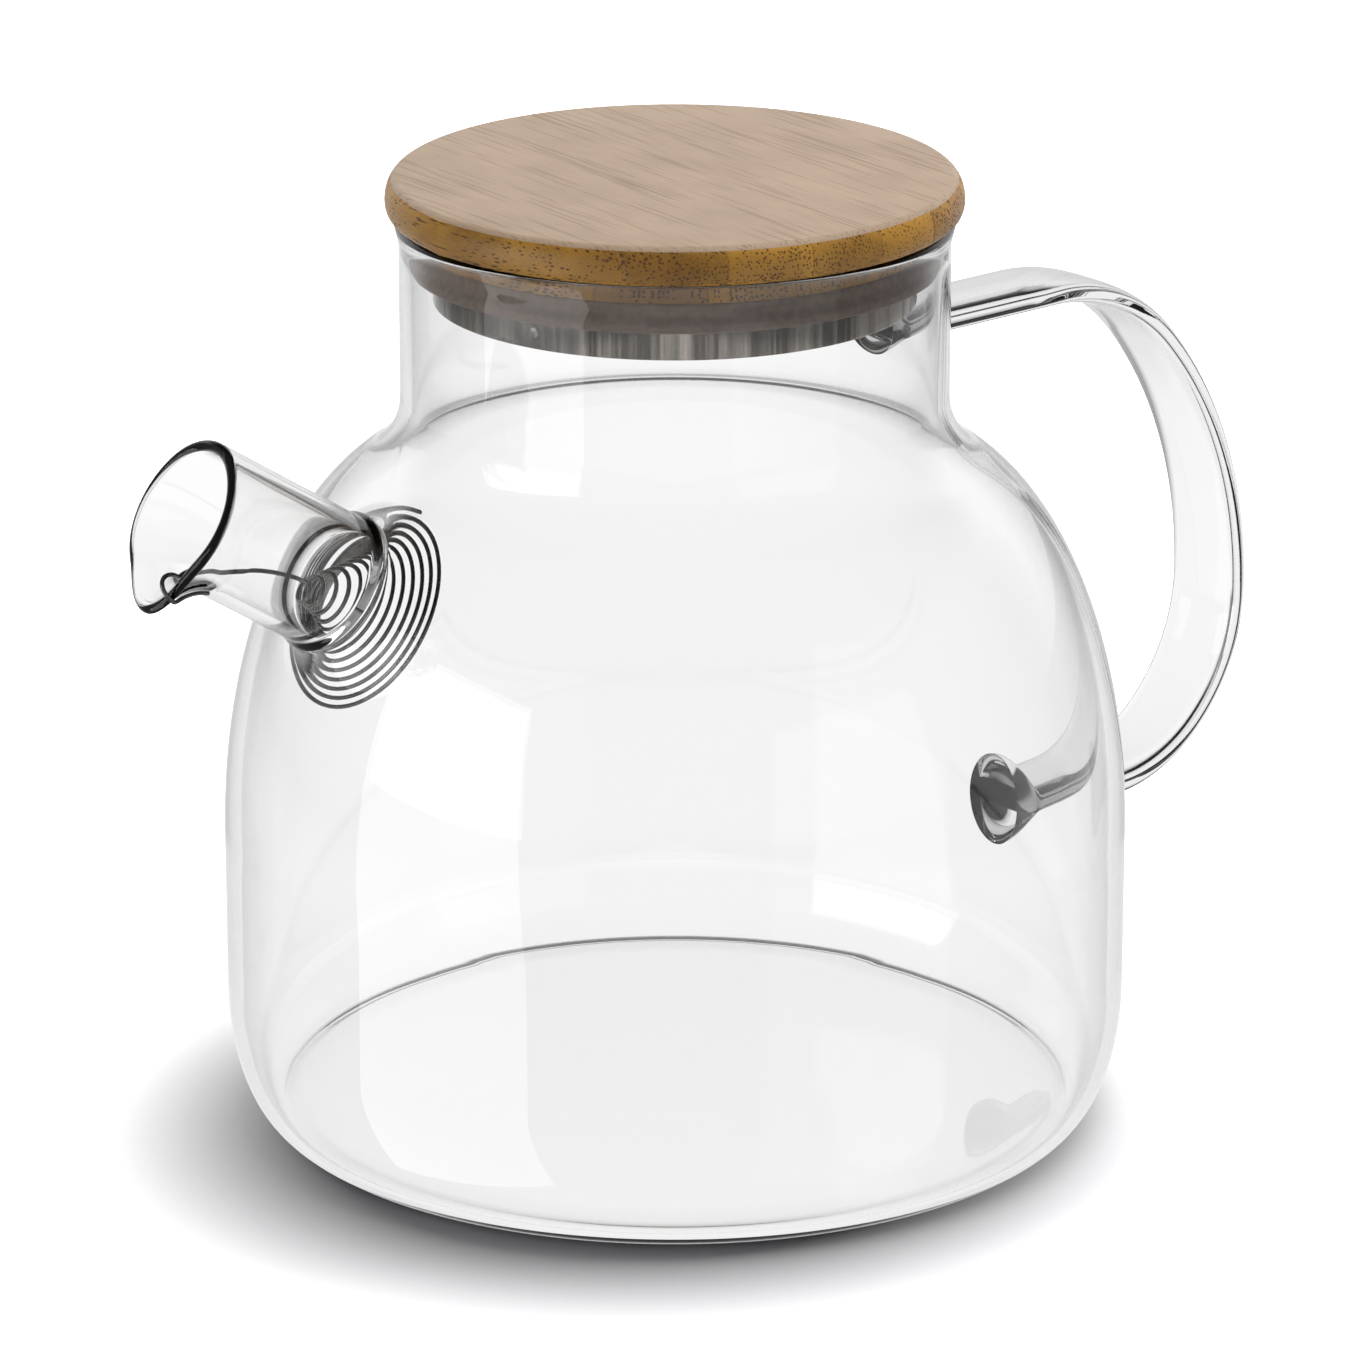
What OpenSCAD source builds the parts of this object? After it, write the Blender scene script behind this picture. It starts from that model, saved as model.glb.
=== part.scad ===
// Glass teapot with a bamboo lid and a wire filter in the spout.
// Origin: centre of the base on the table.  +Z up, handle on +X, spout on -X, millimetres.

/* [Glass body] */
// Outer diameter of the belly
belly_d = 140; // [125:1:160]
// Height at which the belly wall starts to lean in
belly_z = 45; // [35:1:55]
// How far the rounded base corner runs in under the belly
corner_run = 8; // [5:0.5:11]
// Height of the rounded base corner
corner_rise = 20; // [14:1:26]
// How far the elliptical shoulder would carry on in under the neck
dome_over = 4; // [2:0.5:8]
// Vertical half axis of the elliptical shoulder
dome_rise = 62; // [58:0.5:68]
// Outer diameter of the neck
neck_d = 84; // [78:1:88]
// Radius of the hollow curve from shoulder to neck
neck_fillet = 12.5; // [10:0.5:15]
// Height of the rim above the table
rim_z = 142.8; // [138:0.1:150]
// Diameter of the fire-polished bead on the rim
rim_bead_d = 2.6; // [2.2:0.1:3.2]
// Wall thickness of the belly
belly_wall = 2.4; // [1.8:0.1:3]
// Wall thickness of the neck
neck_wall = 1.9; // [1.5:0.1:2.1]
// Thickness of the floor
floor_t = 2; // [1.8:0.1:3]

/* [Spout] */
// Outer diameter of the spout tube
spout_d = 21.2; // [19:0.2:23]
// Wall thickness of the spout tube
spout_wall = 1.8; // [1.4:0.1:2.2]
// Rise of the spout above level, in degrees
spout_tilt = 33.1; // [30:0.1:36]
// Turn of the spout from straight opposite the handle, in degrees
spout_turn = 6; // [0:0.5:8]
// Height at which the spout axis leaves the shoulder
spout_z = 92.9; // [90:0.1:96]
// Length of the spout from shoulder to mouth
spout_len = 34.3; // [30:0.1:40]
// Length over which the tube opens into the mouth
mouth_len = 9.4; // [7:0.2:11]
// How far the whole lower half of the mouth opens
mouth_open = 2.6; // [1.8:0.1:3]
// How much further the pouring lip hangs down in the middle
lip_drop = 3.8; // [2.4:0.1:4.2]
// Turn of the pouring lip around the spout, in degrees
lip_turn = 12; // [0:1:16]
// Height above the shoulder at which the tube is welded to the stub of the body
stub_len = 4.4; // [4.2:0.1:6]
// Radius of the hollow curve around the stub
stub_fillet = 7; // [5:0.2:7]
// How far the weld ring stands out from the tube
weld_ring = 0.7; // [0.4:0.1:1]

/* [Handle] */
// Width of the handle strap
strap_w = 15; // [12:0.5:18]
// Thickness of the handle strap
strap_t = 4; // [3:0.1:5]
// Height of the middle of the upper arm
arm_top_z = 117.8; // [116:0.1:121]
// Height of the middle of the lower arm
arm_low_z = 32.4; // [28:0.5:36]
// How far the middle of the strap stands out from the belly
handle_out = 44.4; // [38:0.2:52]
// Height at which the strap is furthest out
reach_z = 61.5; // [58:0.5:65]
// Straight part of the upper arm, as a share of its whole reach
arm_top_share = 0.428; // [0.3:0.002:0.5]
// Straight part of the lower arm, as a share of its whole reach
arm_low_share = 0.383; // [0.3:0.001:0.5]
// Bend radius next to the upper arm, as a share of what is left of its reach
bend_top_share = 0.785; // [0.7:0.005:0.9]
// Bend radius next to the lower arm, as a share of what is left of its reach
bend_low_share = 0.949; // [0.8:0.001:0.96]
// Diameter of the upper weld on the neck
weld_top_d = 13; // [11:0.5:15]
// Diameter of the lower weld on the belly
weld_low_d = 14; // [12:0.5:17]

/* [Lid] */
// How far the bamboo cap stands out over the neck
cap_over = 2; // [1:0.1:4]
// Thickness of the cap with its face sheet
cap_t = 5.9; // [5:0.1:8]
// Thickness of the face sheet
face_t = 0.6; // [0.4:0.1:1]
// How far the rounded cap edge runs in at the top face
edge_run = 2.2; // [1.5:0.1:2.8]
// How far the rounded cap edge runs in at the underside
under_run = 1.3; // [0.8:0.1:2]
// How much wider the row of glued strips is than the cap
strip_spare = 0.2; // [0.1:0.1:1]
// Direction of the grain, in degrees from the spout-to-handle line
grain_turn = 86; // [60:1:120]
// Gap between the plug's shoulder and the neck
plug_gap = 0.7; // [0.5:0.1:1.5]
// Depth of the plug shoulder above the seal
plug_step = 3.4; // [2.5:0.1:4]
// Height of the silicone seal
seal_h = 4.6; // [4:0.1:6]
// Clearance between the seal lip and the neck
seal_gap = 0.3; // [0.2:0.05:0.5]
// Clearance between the cap and the rim
cap_gap = 0.3; // [0.2:0.05:0.5]
// How far the steel band stands back from the plug's shoulder
band_inset = 2.6; // [1.6:0.1:4]
// Height of the steel band
band_h = 4.8; // [4:0.1:6]
// Thickness of the steel band
band_t = 0.5; // [0.4:0.05:0.8]
// How far the plug stops short of the band's lower edge
band_skirt = 1.2; // [0.8:0.1:2]
// Number of pins through the band
pins = 3; // [2:1:6]
// Diameter of a pin's head
pin_head_d = 1.8; // [1.4:0.1:2.4]

/* [Filter] */
// Diameter of the stainless wire
wire_d = 0.7; // [0.5:0.05:0.8]
// Number of turns in the coil
coil_turns = 13; // [10:1:14]
// Diameter of the coil's large end, between wire centres
coil_big_d = 32.2; // [28:0.2:33]
// Diameter of the coil's small end, between wire centres
coil_small_d = 3.4; // [3:0.2:6]
// How deep the large end sits below the shoulder, along the spout
coil_in = 5.3; // [5.2:0.1:7]
// How far the small end reaches out along the spout
coil_out = 9; // [7:0.2:10]
// How fast the coil flattens towards its large end: 1 is a plain cone
coil_bell = 1.55; // [1.5:0.05:2.2]
// How much closer its turns lie at the small end: 1 is even
coil_spread = 1.25; // [1.2:0.05:1.6]
// How far the whole coil lies below the middle of the tube
coil_low = 1.2; // [0:0.1:1.4]
// How much further its small end sags
coil_sag = 2.2; // [0:0.1:3]
// Travel of the filter between its hook and its coil
filter_play = 1; // [0.6:0.1:1.1]
// Turn of the hook around the spout from the middle of the lip, in degrees
hook_turn = 32; // [12:1:36]
// Length of the hook's free tail under the spout
hook_tail = 6; // [4:0.5:8]

/* [Hidden] */
$fn = 96;
over = 5;            // how far a cutting solid reaches past what it cuts

// ---- outline of the pot, worked out from the body's sizes ----
belly_r = belly_d / 2;
neck_r = neck_d / 2;
dome_run = belly_r - neck_r + dome_over;      // radial half axis of the shoulder
neck_in = neck_r - neck_wall;
dome_in = belly_r - dome_run;               // axis of the shoulder's ellipse

// point and outward normal on an ellipse quarter about (cr, cz)
function ell_p(cr, cz, a, b, t) = [cr + a * cos(t), cz + b * sin(t)];
function ell_n(a, b, t) = let (v = [b * cos(t), a * sin(t)]) v / norm(v);

// ellipse angle at which the neck's hollow curve touches the shoulder
function tangent_t(lo, hi, n) = let (m = (lo + hi) / 2)
    n == 0 ? m
    : ell_p(dome_in, 0, dome_run, dome_rise, m)[0]
      + neck_fillet * ell_n(dome_run, dome_rise, m)[0] > neck_r + neck_fillet
      ? tangent_t(m, hi, n - 1) : tangent_t(lo, m, n - 1);
dome_end = tangent_t(20, 88, 40);
dome_last = ell_p(dome_in, belly_z, dome_run, dome_rise, dome_end);
fillet_c = dome_last + neck_fillet * ell_n(dome_run, dome_rise, dome_end);
fillet_start = atan2(dome_last[1] - fillet_c[1], dome_last[0] - fillet_c[0]);

function blend(a, b, k) = a + (b - a) * k;
corner_n = 9;
dome_n = 16;
fillet_n = 8;
bead_r = rim_bead_d / 2;
bead_c = [neck_in + bead_r, rim_z - bead_r];
bead_n = 10;

// lower corner, shoulder and neck curve, each moved in along its normal, by w0 at its start and w1 at its end
function corner_pts(w0, w1) = [for (i = [0:corner_n]) let (t = -90 + 90 * i / corner_n)
    ell_p(belly_r - corner_run, corner_rise, corner_run, corner_rise, t)
    - blend(w0, w1, i / corner_n) * ell_n(corner_run, corner_rise, t)];
function dome_pts(w0, w1) = [for (i = [0:dome_n]) let (t = dome_end * i / dome_n)
    ell_p(dome_in, belly_z, dome_run, dome_rise, t)
    - blend(w0, w1, i / dome_n) * ell_n(dome_run, dome_rise, t)];
function fillet_pts(w) = [for (i = [1:fillet_n])
    let (t = blend(fillet_start, -180, i / fillet_n))
    fillet_c + (neck_fillet + w) * [cos(t), sin(t)]];

outer_wall = concat(corner_pts(0, 0), dome_pts(0, 0), fillet_pts(0));
inner_wall = concat(corner_pts(floor_t, belly_wall), dome_pts(belly_wall, neck_wall), fillet_pts(neck_wall));
bead = [for (i = [0:bead_n]) let (t = 180 * i / bead_n) bead_c + bead_r * [cos(t), sin(t)]];

module body_outline() {
    polygon(concat([[0, 0]], outer_wall, [[neck_r, bead_c[1] - 2 * bead_r]], bead,
                   [for (i = [len(inner_wall) - 1:-1:0]) inner_wall[i]], [[0, floor_t]]));
}
// the pot's outside as one solid, for cutting what is welded to it
module body_envelope() {
    rotate_extrude() polygon(concat([[0, 0]], outer_wall, [[neck_r, rim_z + over], [0, rim_z + over]]));
}

// ---- frame of the spout: +X along its axis, outwards, +Z up, origin on the shoulder ----
spout_t = asin((spout_z - belly_z) / dome_rise);
spout_root = ell_p(dome_in, belly_z, dome_run, dome_rise, spout_t);
spout_r = spout_d / 2;
bore_r = spout_r - spout_wall;
module on_spout() {
    rotate([0, 0, 180 - spout_turn]) translate([spout_root[0], 0, spout_root[1]]) rotate([0, -spout_tilt, 0])
        children();
}

// ---- mouth of the spout: a round tube that opens and hangs down into a lip ----
mouth_n = 48;        // points around
mouth_rings = 7;
open_half = 136;     // angle from the bottom at which the opening fades out
lip_half = 50;       // angle from the bottom at which the lip fades out
function from_low(a) = min(abs(a + 90 - lip_turn), abs(270 + lip_turn - a));
function open_share(a) = let (d = from_low(a)) d < open_half ? pow(cos(90 * d / open_half), 2) : 0;
function lip_share(a) = let (d = from_low(a)) d < lip_half ? pow((1 + cos(180 * d / lip_half)) / 2, 1.6) : 0;
function mouth_r(a, k, r) = r + mouth_open * pow(k, 1.8) * open_share(a)
                              + lip_drop * pow(k, 2.4) * lip_share(a);
function mouth_ring(x, k, r) = [for (i = [0:mouth_n - 1]) let (a = 360 * i / mouth_n - 90)
    [x, mouth_r(a, k, r) * cos(a), mouth_r(a, k, r) * sin(a)]];
mouth_x0 = spout_len - mouth_len;
half_wall = spout_wall / 2;
mid_r = spout_r - half_wall;
edge_x = spout_len - half_wall;
seam_step = 0.01;    // the mouth's first ring keeps this far inside the end of the round tube
stations = concat(
    [mouth_ring(mouth_x0, 0, spout_r - seam_step)],
    [for (j = [1:mouth_rings]) let (k = j / mouth_rings) mouth_ring(blend(mouth_x0, edge_x, k), k, spout_r)],
    [for (t = [60, 30, 0, -30, -60])
        mouth_ring(edge_x + half_wall * cos(t), 1, mid_r + half_wall * sin(t))],
    [for (j = [mouth_rings:-1:1]) let (k = j / mouth_rings) mouth_ring(blend(mouth_x0, edge_x, k), k, bore_r)],
    [mouth_ring(mouth_x0, 0, bore_r / cos(180 / mouth_n) + seam_step)]);

// skin over a row of rings with the same number of points; `closed` joins the last ring to the first
module skin(rings, closed = false) {
    n = len(rings[0]);
    last = len(rings) - 1;
    function at(s, i) = (s % len(rings)) * n + i % n;
    polyhedron([for (r = rings) each r], concat(
        [for (s = [0:closed ? last : last - 1], i = [0:n - 1], h = [0, 1])
            h == 0 ? [at(s, i), at(s + 1, i), at(s + 1, i + 1)] : [at(s, i), at(s + 1, i + 1), at(s, i + 1)]],
        closed ? [] : [[for (i = [0:n - 1]) i], [for (i = [n - 1:-1:0]) last * n + i]]));
}

// ---- glass pieces ----
// the stub of the body that carries the spout: its hollow curve, w further in, as [radius, height]
stub_c = [spout_r + stub_fillet, stub_fillet * 0.62];
stub_end = 248;      // angle at which the hollow curve meets the shoulder
stub_n = 7;
function stub_arc(w, from = 180) = [for (i = [0:stub_n]) let (t = blend(from, stub_end, i / stub_n))
    stub_c + (stub_fillet + w) * [cos(t), sin(t)]];
bead_run = 1.8;      // length of the weld ring on each side of the seam
bead_flat = 0.3;
module stub_outside() {
    // the curve starts under the weld ring
    arc = stub_arc(0, 180 + asin(max(0, stub_c[1] - stub_len + bead_run) / stub_fillet));
    rotate([0, 90, 0]) rotate_extrude() polygon(concat(
        [[bore_r - 1, stub_len], [spout_r + weld_ring, stub_len], [spout_r + weld_ring, stub_len - bead_flat]],
        arc, [arc[stub_n] + 5 * [cos(22), -sin(22)], [bore_r - 1, -1]]));
}
module stub_inside() {
    arc = stub_arc(spout_wall);
    rotate([0, 90, 0]) rotate_extrude() polygon(concat(
        [[0, stub_len + over], [bore_r, stub_len + over]],
        arc, [arc[stub_n] + 5 * [cos(40), -sin(40)], [0, arc[stub_n][1] - 5 * sin(40)]]));
}
module glass_body() {
    color("aliceblue", 0.4) difference() {
        union() {
            rotate_extrude() body_outline();
            on_spout() stub_outside();
        }
        on_spout() stub_inside();
    }
}

module spout() {
    color("azure", 0.5) on_spout() {
        rotate([0, 90, 0]) rotate_extrude() polygon([
            [bore_r, stub_len], [spout_r + weld_ring, stub_len], [spout_r + weld_ring, stub_len + bead_flat],
            [spout_r, stub_len + bead_run], [spout_r, mouth_x0], [bore_r, mouth_x0]]);
        skin(stations, closed = true);
    }
}

// ---- handle: a flat glass strap in two straight arms and four bends ----
// second radius of a curve made of two arcs that runs over `run` and drops over `drop`
function next_r(run, drop, r) = (run * run + drop * drop - 2 * drop * r) / (2 * (run - r));
handle_reach = belly_r + handle_out;
arm_top_x = neck_r + arm_top_share * (handle_reach - neck_r);
top_run = handle_reach - arm_top_x;
top_drop = arm_top_z - reach_z;
bend_top_r = bend_top_share * top_run;
top_r2 = next_r(top_run, top_drop, bend_top_r);
top_turn = atan2(top_drop - bend_top_r, top_r2 - top_run);
arm_low_x = belly_r + arm_low_share * (handle_reach - belly_r);
low_run = handle_reach - arm_low_x;
low_drop = reach_z - arm_low_z;
bend_low_r = bend_low_share * low_run;
low_r2 = next_r(low_run, low_drop, bend_low_r);
low_turn = atan2(low_drop - bend_low_r, low_r2 - low_run);
weld_in = 3;         // how far a weld reaches in before it is cut to the pot

// outline across the strap, as [sideways, outwards]
round_n = 10;        // flats on each rounded edge
strap_edge = [for (side = [0, 1], i = [0:round_n]) let (t = 180 * (side + i / round_n) - 90)
    [(side == 0 ? 1 : -1) * (strap_w - strap_t) / 2 + strap_t / 2 * cos(t), strap_t / 2 * sin(t)]];
function bend(x, z, r, from, to, n) = [for (i = [0:n]) let (t = blend(from, to, i / n))
    [x + r * cos(t), z + r * sin(t), t]];
function but_first(v) = [for (i = [1:len(v) - 1]) v[i]];
strap_path = concat(
    [[neck_r - weld_in, arm_top_z, 90]],
    bend(arm_top_x, arm_top_z - bend_top_r, bend_top_r, 90, top_turn, 9),
    but_first(bend(handle_reach - top_r2, reach_z, top_r2, top_turn, 0, 12)),
    but_first(bend(handle_reach - low_r2, reach_z, low_r2, 0, -low_turn, 9)),
    but_first(bend(arm_low_x, arm_low_z + bend_low_r, bend_low_r, -low_turn, -90, 8)),
    [[belly_r - weld_in, arm_low_z, -90]]);
module strap() {
    skin([for (p = strap_path) [for (q = strap_edge) [p[0] + q[1] * cos(p[2]), q[0], p[1] + q[1] * sin(p[2])]]]);
}
module weld(x, z, d, out) {
    translate([x - weld_in, 0, z]) rotate([0, 90, 0]) rotate_extrude()
        polygon(concat([[0, 0]], [for (t = [0:10:90]) [d / 2 * cos(t), weld_in + out * sin(t)]]));
}
module handle() {
    color("azure", 0.6) difference() {
        union() {
            strap();
            weld(neck_r, arm_top_z, weld_top_d, weld_top_d / 3);
            weld(belly_r, arm_low_z, weld_low_d, weld_low_d / 2.4);
        }
        body_envelope();
    }
}

// ---- lid: cap and plug turned from one block of glued strips, with a face sheet on top ----
cap_r = neck_r + cap_over;
plug_r = neck_in - plug_gap;
cap_z = rim_z + cap_gap;
cap_top = cap_z + cap_t;
face_z = cap_top - face_t;
wide_z = cap_z + 0.37 * cap_t;             // height of the cap's widest line
seal_top = cap_z - plug_step;
seal_bottom = seal_top - seal_h;
band_r = plug_r - band_inset;
core_r = band_r - band_t;
band_bottom = seal_bottom - band_h;
plug_bottom = band_bottom + band_skirt;
face_turn = asin((face_z - wide_z) / (cap_top - wide_z));
strips = 7;
strip_w = (2 * cap_r + strip_spare) / strips;

pin_d = 0.9;
pin_deep = 3;
pin_proud = 0.25;
pin_angle = 196;     // direction of the first pin, from the handle
pin_z = seal_bottom - 0.46 * band_h;
module at_pins() {
    for (i = [0:pins - 1]) rotate([0, 0, pin_angle + 360 * i / pins]) translate([0, 0, pin_z])
        rotate([0, 90, 0]) children();
}

// point on the rounded edge of the cap: -90 is its underside, 90 its top
function edge_p(t) = let (run = t < 0 ? under_run : edge_run, rise = t < 0 ? wide_z - cap_z : cap_top - wide_z)
    [cap_r - run + run * cos(t), wide_z + rise * sin(t)];
edge_n = 6;
module lid_block() {
    difference() {
        rotate_extrude() polygon(concat(
            [[0, plug_bottom], [core_r, plug_bottom], [core_r, seal_top], [plug_r, seal_top], [plug_r, cap_z]],
            [for (i = [0:edge_n]) edge_p(-90 + 90 * i / edge_n)],
            [for (i = [1:edge_n]) edge_p(face_turn * i / edge_n)], [[0, face_z]]));
        at_pins() translate([0, 0, core_r - pin_deep]) cylinder(d = pin_d, h = pin_deep + over);
    }
}
module strip(i) {
    color("burlywood") intersection() {
        lid_block();
        rotate([0, 0, grain_turn]) translate([-2 * cap_r, (i - 1 - strips / 2) * strip_w, plug_bottom - over])
            cube([4 * cap_r, strip_w, cap_top]);
    }
}
module lid_strip_1() strip(1);
module lid_strip_2() strip(2);
module lid_strip_3() strip(3);
module lid_strip_4() strip(4);
module lid_strip_5() strip(5);
module lid_strip_6() strip(6);
module lid_strip_7() strip(7);

module lid_face() {
    color("tan") rotate_extrude() polygon(concat([[0, face_z]],
        [for (i = [0:edge_n]) edge_p(blend(face_turn, 90, i / edge_n))], [[0, cap_top]]));
}

// silicone skirt, widest at its lower lip
lip_r = neck_in - seal_gap;
module lid_seal() {
    color("rosybrown") rotate_extrude() polygon([
        [core_r, seal_top], [plug_r - 0.7, seal_top], [plug_r - 0.4, seal_top - 0.5],
        [plug_r - 0.4, seal_top - 1.4], [plug_r - 0.1, seal_top - 2.4], [lip_r, seal_bottom + 1.1],
        [lip_r, seal_bottom + 0.5], [lip_r - 0.5, seal_bottom], [core_r, seal_bottom]]);
}

module steel_band() {
    color("silver") difference() {
        rotate_extrude() translate([core_r, band_bottom]) square([band_t, band_h]);
        at_pins() cylinder(d = pin_d, h = band_r + over);
    }
}
module band_pins() {
    color("gainsboro") at_pins() {
        translate([0, 0, core_r - pin_deep]) cylinder(d = pin_d, h = pin_deep + band_t);
        translate([0, 0, band_r]) cylinder(d1 = pin_head_d, d2 = pin_head_d / 2, h = pin_proud);
    }
}

// ---- filter: one stainless wire, a flaring coil, a stem along the spout and a hook over the mouth ----
wire_r = wire_d / 2;
wire_n = 6;          // sides of the wire
turn_n = 24;         // points in one turn of the coil
hook_a = hook_turn - 90;                    // direction of the hook around the spout
// points of the coil, from its large end to its small end
coil_last = coil_turns * turn_n;
function coil_pt(i) = let (k = 1 - i / coil_last, a = 90 - 360 * coil_turns * k,
                           r = blend(coil_small_d, coil_big_d, pow(k, coil_spread)) / 2)
    [coil_out - (coil_out + coil_in) * (1 - pow(1 - k, coil_bell)), r * cos(a),
     r * sin(a) - coil_low - coil_sag * pow(1 - k, 6)];
// hook, as [distance along the spout, distance from its middle]
slack = 1.35;        // gap between the wire and the inside of the lip
snug = 0.4;          // gap between the wire and the outside of the lip
function in_lip(k, gap) = [blend(mouth_x0, edge_x, k), mouth_r(hook_a, k, bore_r) - gap - wire_r];
function out_lip(k, gap) = [blend(mouth_x0, edge_x, k), mouth_r(hook_a, k, spout_r) + gap + wire_r];
hook_in = in_lip(1, slack);
hook_out = out_lip(1, snug);
hook_mid = (hook_in + hook_out) / 2;
hook_reach = filter_play + 1.9;
tail_k = 1 - hook_tail / (edge_x - mouth_x0);
stem = concat(
    [for (k = [0.15, 0.35, 0.55, 0.7, 0.8, 0.9, 1]) in_lip(k, slack)],
    [for (t = [-72:18:72]) hook_mid + [hook_reach * cos(t), (hook_out[1] - hook_in[1]) / 2 * sin(t)]],
    [for (i = [0:5]) out_lip(blend(1, tail_k, i / 5), snug)]);
coil_end = coil_pt(coil_last);
lead_n = 9;          // points on the way from the coil to the lip
lead_bow = 0.8;
function lead_pt(u) = let (b = stem[0], c = [b[0], b[1] * cos(hook_a), b[1] * sin(hook_a)])
    blend(coil_end, c, u) + [0, 0, lead_bow * sin(180 * u)];
wire_path = concat([for (i = [0:coil_last - 2]) coil_pt(i)], [for (i = [1:lead_n - 1]) lead_pt(i / lead_n)],
                   [for (p = stem) [p[0], p[1] * cos(hook_a), p[1] * sin(hook_a)]]);
wire_last = len(wire_path) - 1;
function unit(v) = v / norm(v);
function way(i) = unit(wire_path[min(i + 1, wire_last)] - wire_path[max(i - 1, 0)]);
function square_to(v, t) = unit(v - (v * t) * t);
// a direction across the wire, carried along it without twisting
wire_side = [for (i = 0, v = square_to([1, 0, 0], way(0)); i <= wire_last;
                  i = i + 1, v = square_to(v, way(min(i, wire_last)))) v];
wire_rings = [for (i = [0:wire_last]) let (a = wire_side[i], b = cross(way(i), a))
    [for (j = [0:wire_n - 1]) let (t = 360 * j / wire_n) wire_path[i] + wire_r * (cos(t) * a + sin(t) * b)]];
module spout_filter() {
    color("dimgray") on_spout() skin(wire_rings);
}

glass_body();
spout();
handle();
lid_face();
lid_strip_1();
lid_strip_2();
lid_strip_3();
lid_strip_4();
lid_strip_5();
lid_strip_6();
lid_strip_7();
lid_seal();
steel_band();
band_pins();
spout_filter();
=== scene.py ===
# %% [markdown]
# # A glass teapot with a bamboo lid
# The pot is blown from borosilicate glass. Its spout is a glass tube and its handle a flat glass
# strap, both welded on in a flame. The lid is turned from glued bamboo, with a silicone seal and a
# steel band, and a coil of steel wire in the spout holds back the leaves.
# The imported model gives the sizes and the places. Here each solid gets its fine shape and finish.

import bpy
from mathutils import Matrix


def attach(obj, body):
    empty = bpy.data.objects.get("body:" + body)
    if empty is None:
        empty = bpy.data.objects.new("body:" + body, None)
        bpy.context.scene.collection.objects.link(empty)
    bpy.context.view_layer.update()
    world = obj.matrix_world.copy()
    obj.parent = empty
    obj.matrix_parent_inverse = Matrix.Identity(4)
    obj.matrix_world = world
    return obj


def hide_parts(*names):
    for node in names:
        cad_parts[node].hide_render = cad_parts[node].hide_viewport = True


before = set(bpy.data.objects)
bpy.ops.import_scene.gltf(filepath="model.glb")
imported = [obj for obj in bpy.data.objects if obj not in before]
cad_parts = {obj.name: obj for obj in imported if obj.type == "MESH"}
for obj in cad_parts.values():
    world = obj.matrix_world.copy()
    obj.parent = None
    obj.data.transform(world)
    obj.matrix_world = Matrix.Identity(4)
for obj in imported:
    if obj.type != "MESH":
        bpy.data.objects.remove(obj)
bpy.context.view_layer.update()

import bmesh
import bpy
import numpy as np
from mathutils import Vector

MM = 0.001
scene = bpy.context.scene
scene.view_settings.view_transform = "Standard"

# %% [markdown]
# ## Camera
# A long lens from about 1.2 m keeps the sides of the pot nearly parallel. The camera stands to the
# left of the spout and looks a little down, so the lid's top and the inside of the mouth both show.

# %% Camera
def place_camera(where_mm, aim_mm, lens):
    """Put a camera at a point and turn it so that it looks at another point, with its top upwards."""
    data = bpy.data.cameras.new("camera")
    camera = bpy.data.objects.new("camera", data)
    scene.collection.objects.link(camera)
    where, aim = Vector(where_mm) * MM, Vector(aim_mm) * MM
    camera.location = where
    camera.rotation_euler = (aim - where).to_track_quat("-Z", "Y").to_euler()
    data.lens, data.sensor_width = lens, 36
    data.clip_start, data.clip_end = 0.05, 20
    scene.camera = camera
    return camera


CAMERA_AT, CAMERA_AIM, LENS = (-713.1, -851.0, 443.2), (0.6, -0.5, 68.0), 200.5
camera = place_camera(CAMERA_AT, CAMERA_AIM, LENS)
print("camera distance in mm:", round(camera.location.length / MM))

# %% [markdown]
# ## Colour and node helpers
# Colours are written as the hex values that a screen shows. Blender's shaders want linear light,
# so one function converts them. Another adds a node, sets it up and links it in one line.

# %% Helpers for colours and nodes
def linear(hex_code):
    """sRGB hex to linear RGBA: below 0.04045 a straight line, above it a power of 2.4."""
    c = np.array([int(hex_code[i:i + 2], 16) for i in (1, 3, 5)]) / 255
    low, high = c / 12.92, ((c + 0.055) / 1.055) ** 2.4
    return (*np.where(c <= 0.04045, low, high).tolist(), 1.0)


def add(tree, kind, links=None, **settings):
    """Add a node. settings are its own values; links gives each input a value or another node's output."""
    node = tree.nodes.new(kind)
    for name, value in settings.items():
        setattr(node, name, value)
    for name, value in (links or {}).items():
        if isinstance(value, bpy.types.NodeSocket):
            tree.links.new(value, node.inputs[name])
        else:
            node.inputs[name].default_value = value
    return node


def new_material(name):
    """An empty node material with an output node; returns the material and its tree."""
    material = bpy.data.materials.new(name)
    material.use_nodes = True
    material.node_tree.nodes.clear()
    return material, material.node_tree


print("white is", linear("#ffffff"))

# %% [markdown]
# ## Studio
# Clear glass shows only what stands around it. It is lit here as glass is in a studio: a white
# sweep behind, large soft lamps that leave white windows on the curves, and dim walls at both
# sides, which the edges of thick glass bend into view as darker lines. The Light Path node tells
# what a ray has met, so the sweep can be white to the eye and through glass, and still leave the
# light on the pot to the lamps.

# %% Light paths
WHITE = (1, 1, 1, 1)
TO_THE_BACK, TO_THE_RIGHT = (0.642, 0.767, 0), (0.767, -0.642, 0)
SIDE_WALL = 0.3


def light_paths(tree):
    """Light Path, its rays through or off glass as 1 or 0, and a fade from 1 to 0.02 over the 6th to 9th bounce."""
    path = add(tree, "ShaderNodeLightPath")
    glass_ray = add(tree, "ShaderNodeMath", {
        0: path.outputs["Is Glossy Ray"], 1: path.outputs["Is Transmission Ray"]}, operation="MAXIMUM")
    fade = add(tree, "ShaderNodeMapRange", {
        "Value": path.outputs["Ray Depth"], "From Min": 6.0, "From Max": 9.0, "To Min": 1.0, "To Max": 0.02})
    return path, glass_ray.outputs[0], fade.outputs[0]


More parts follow.
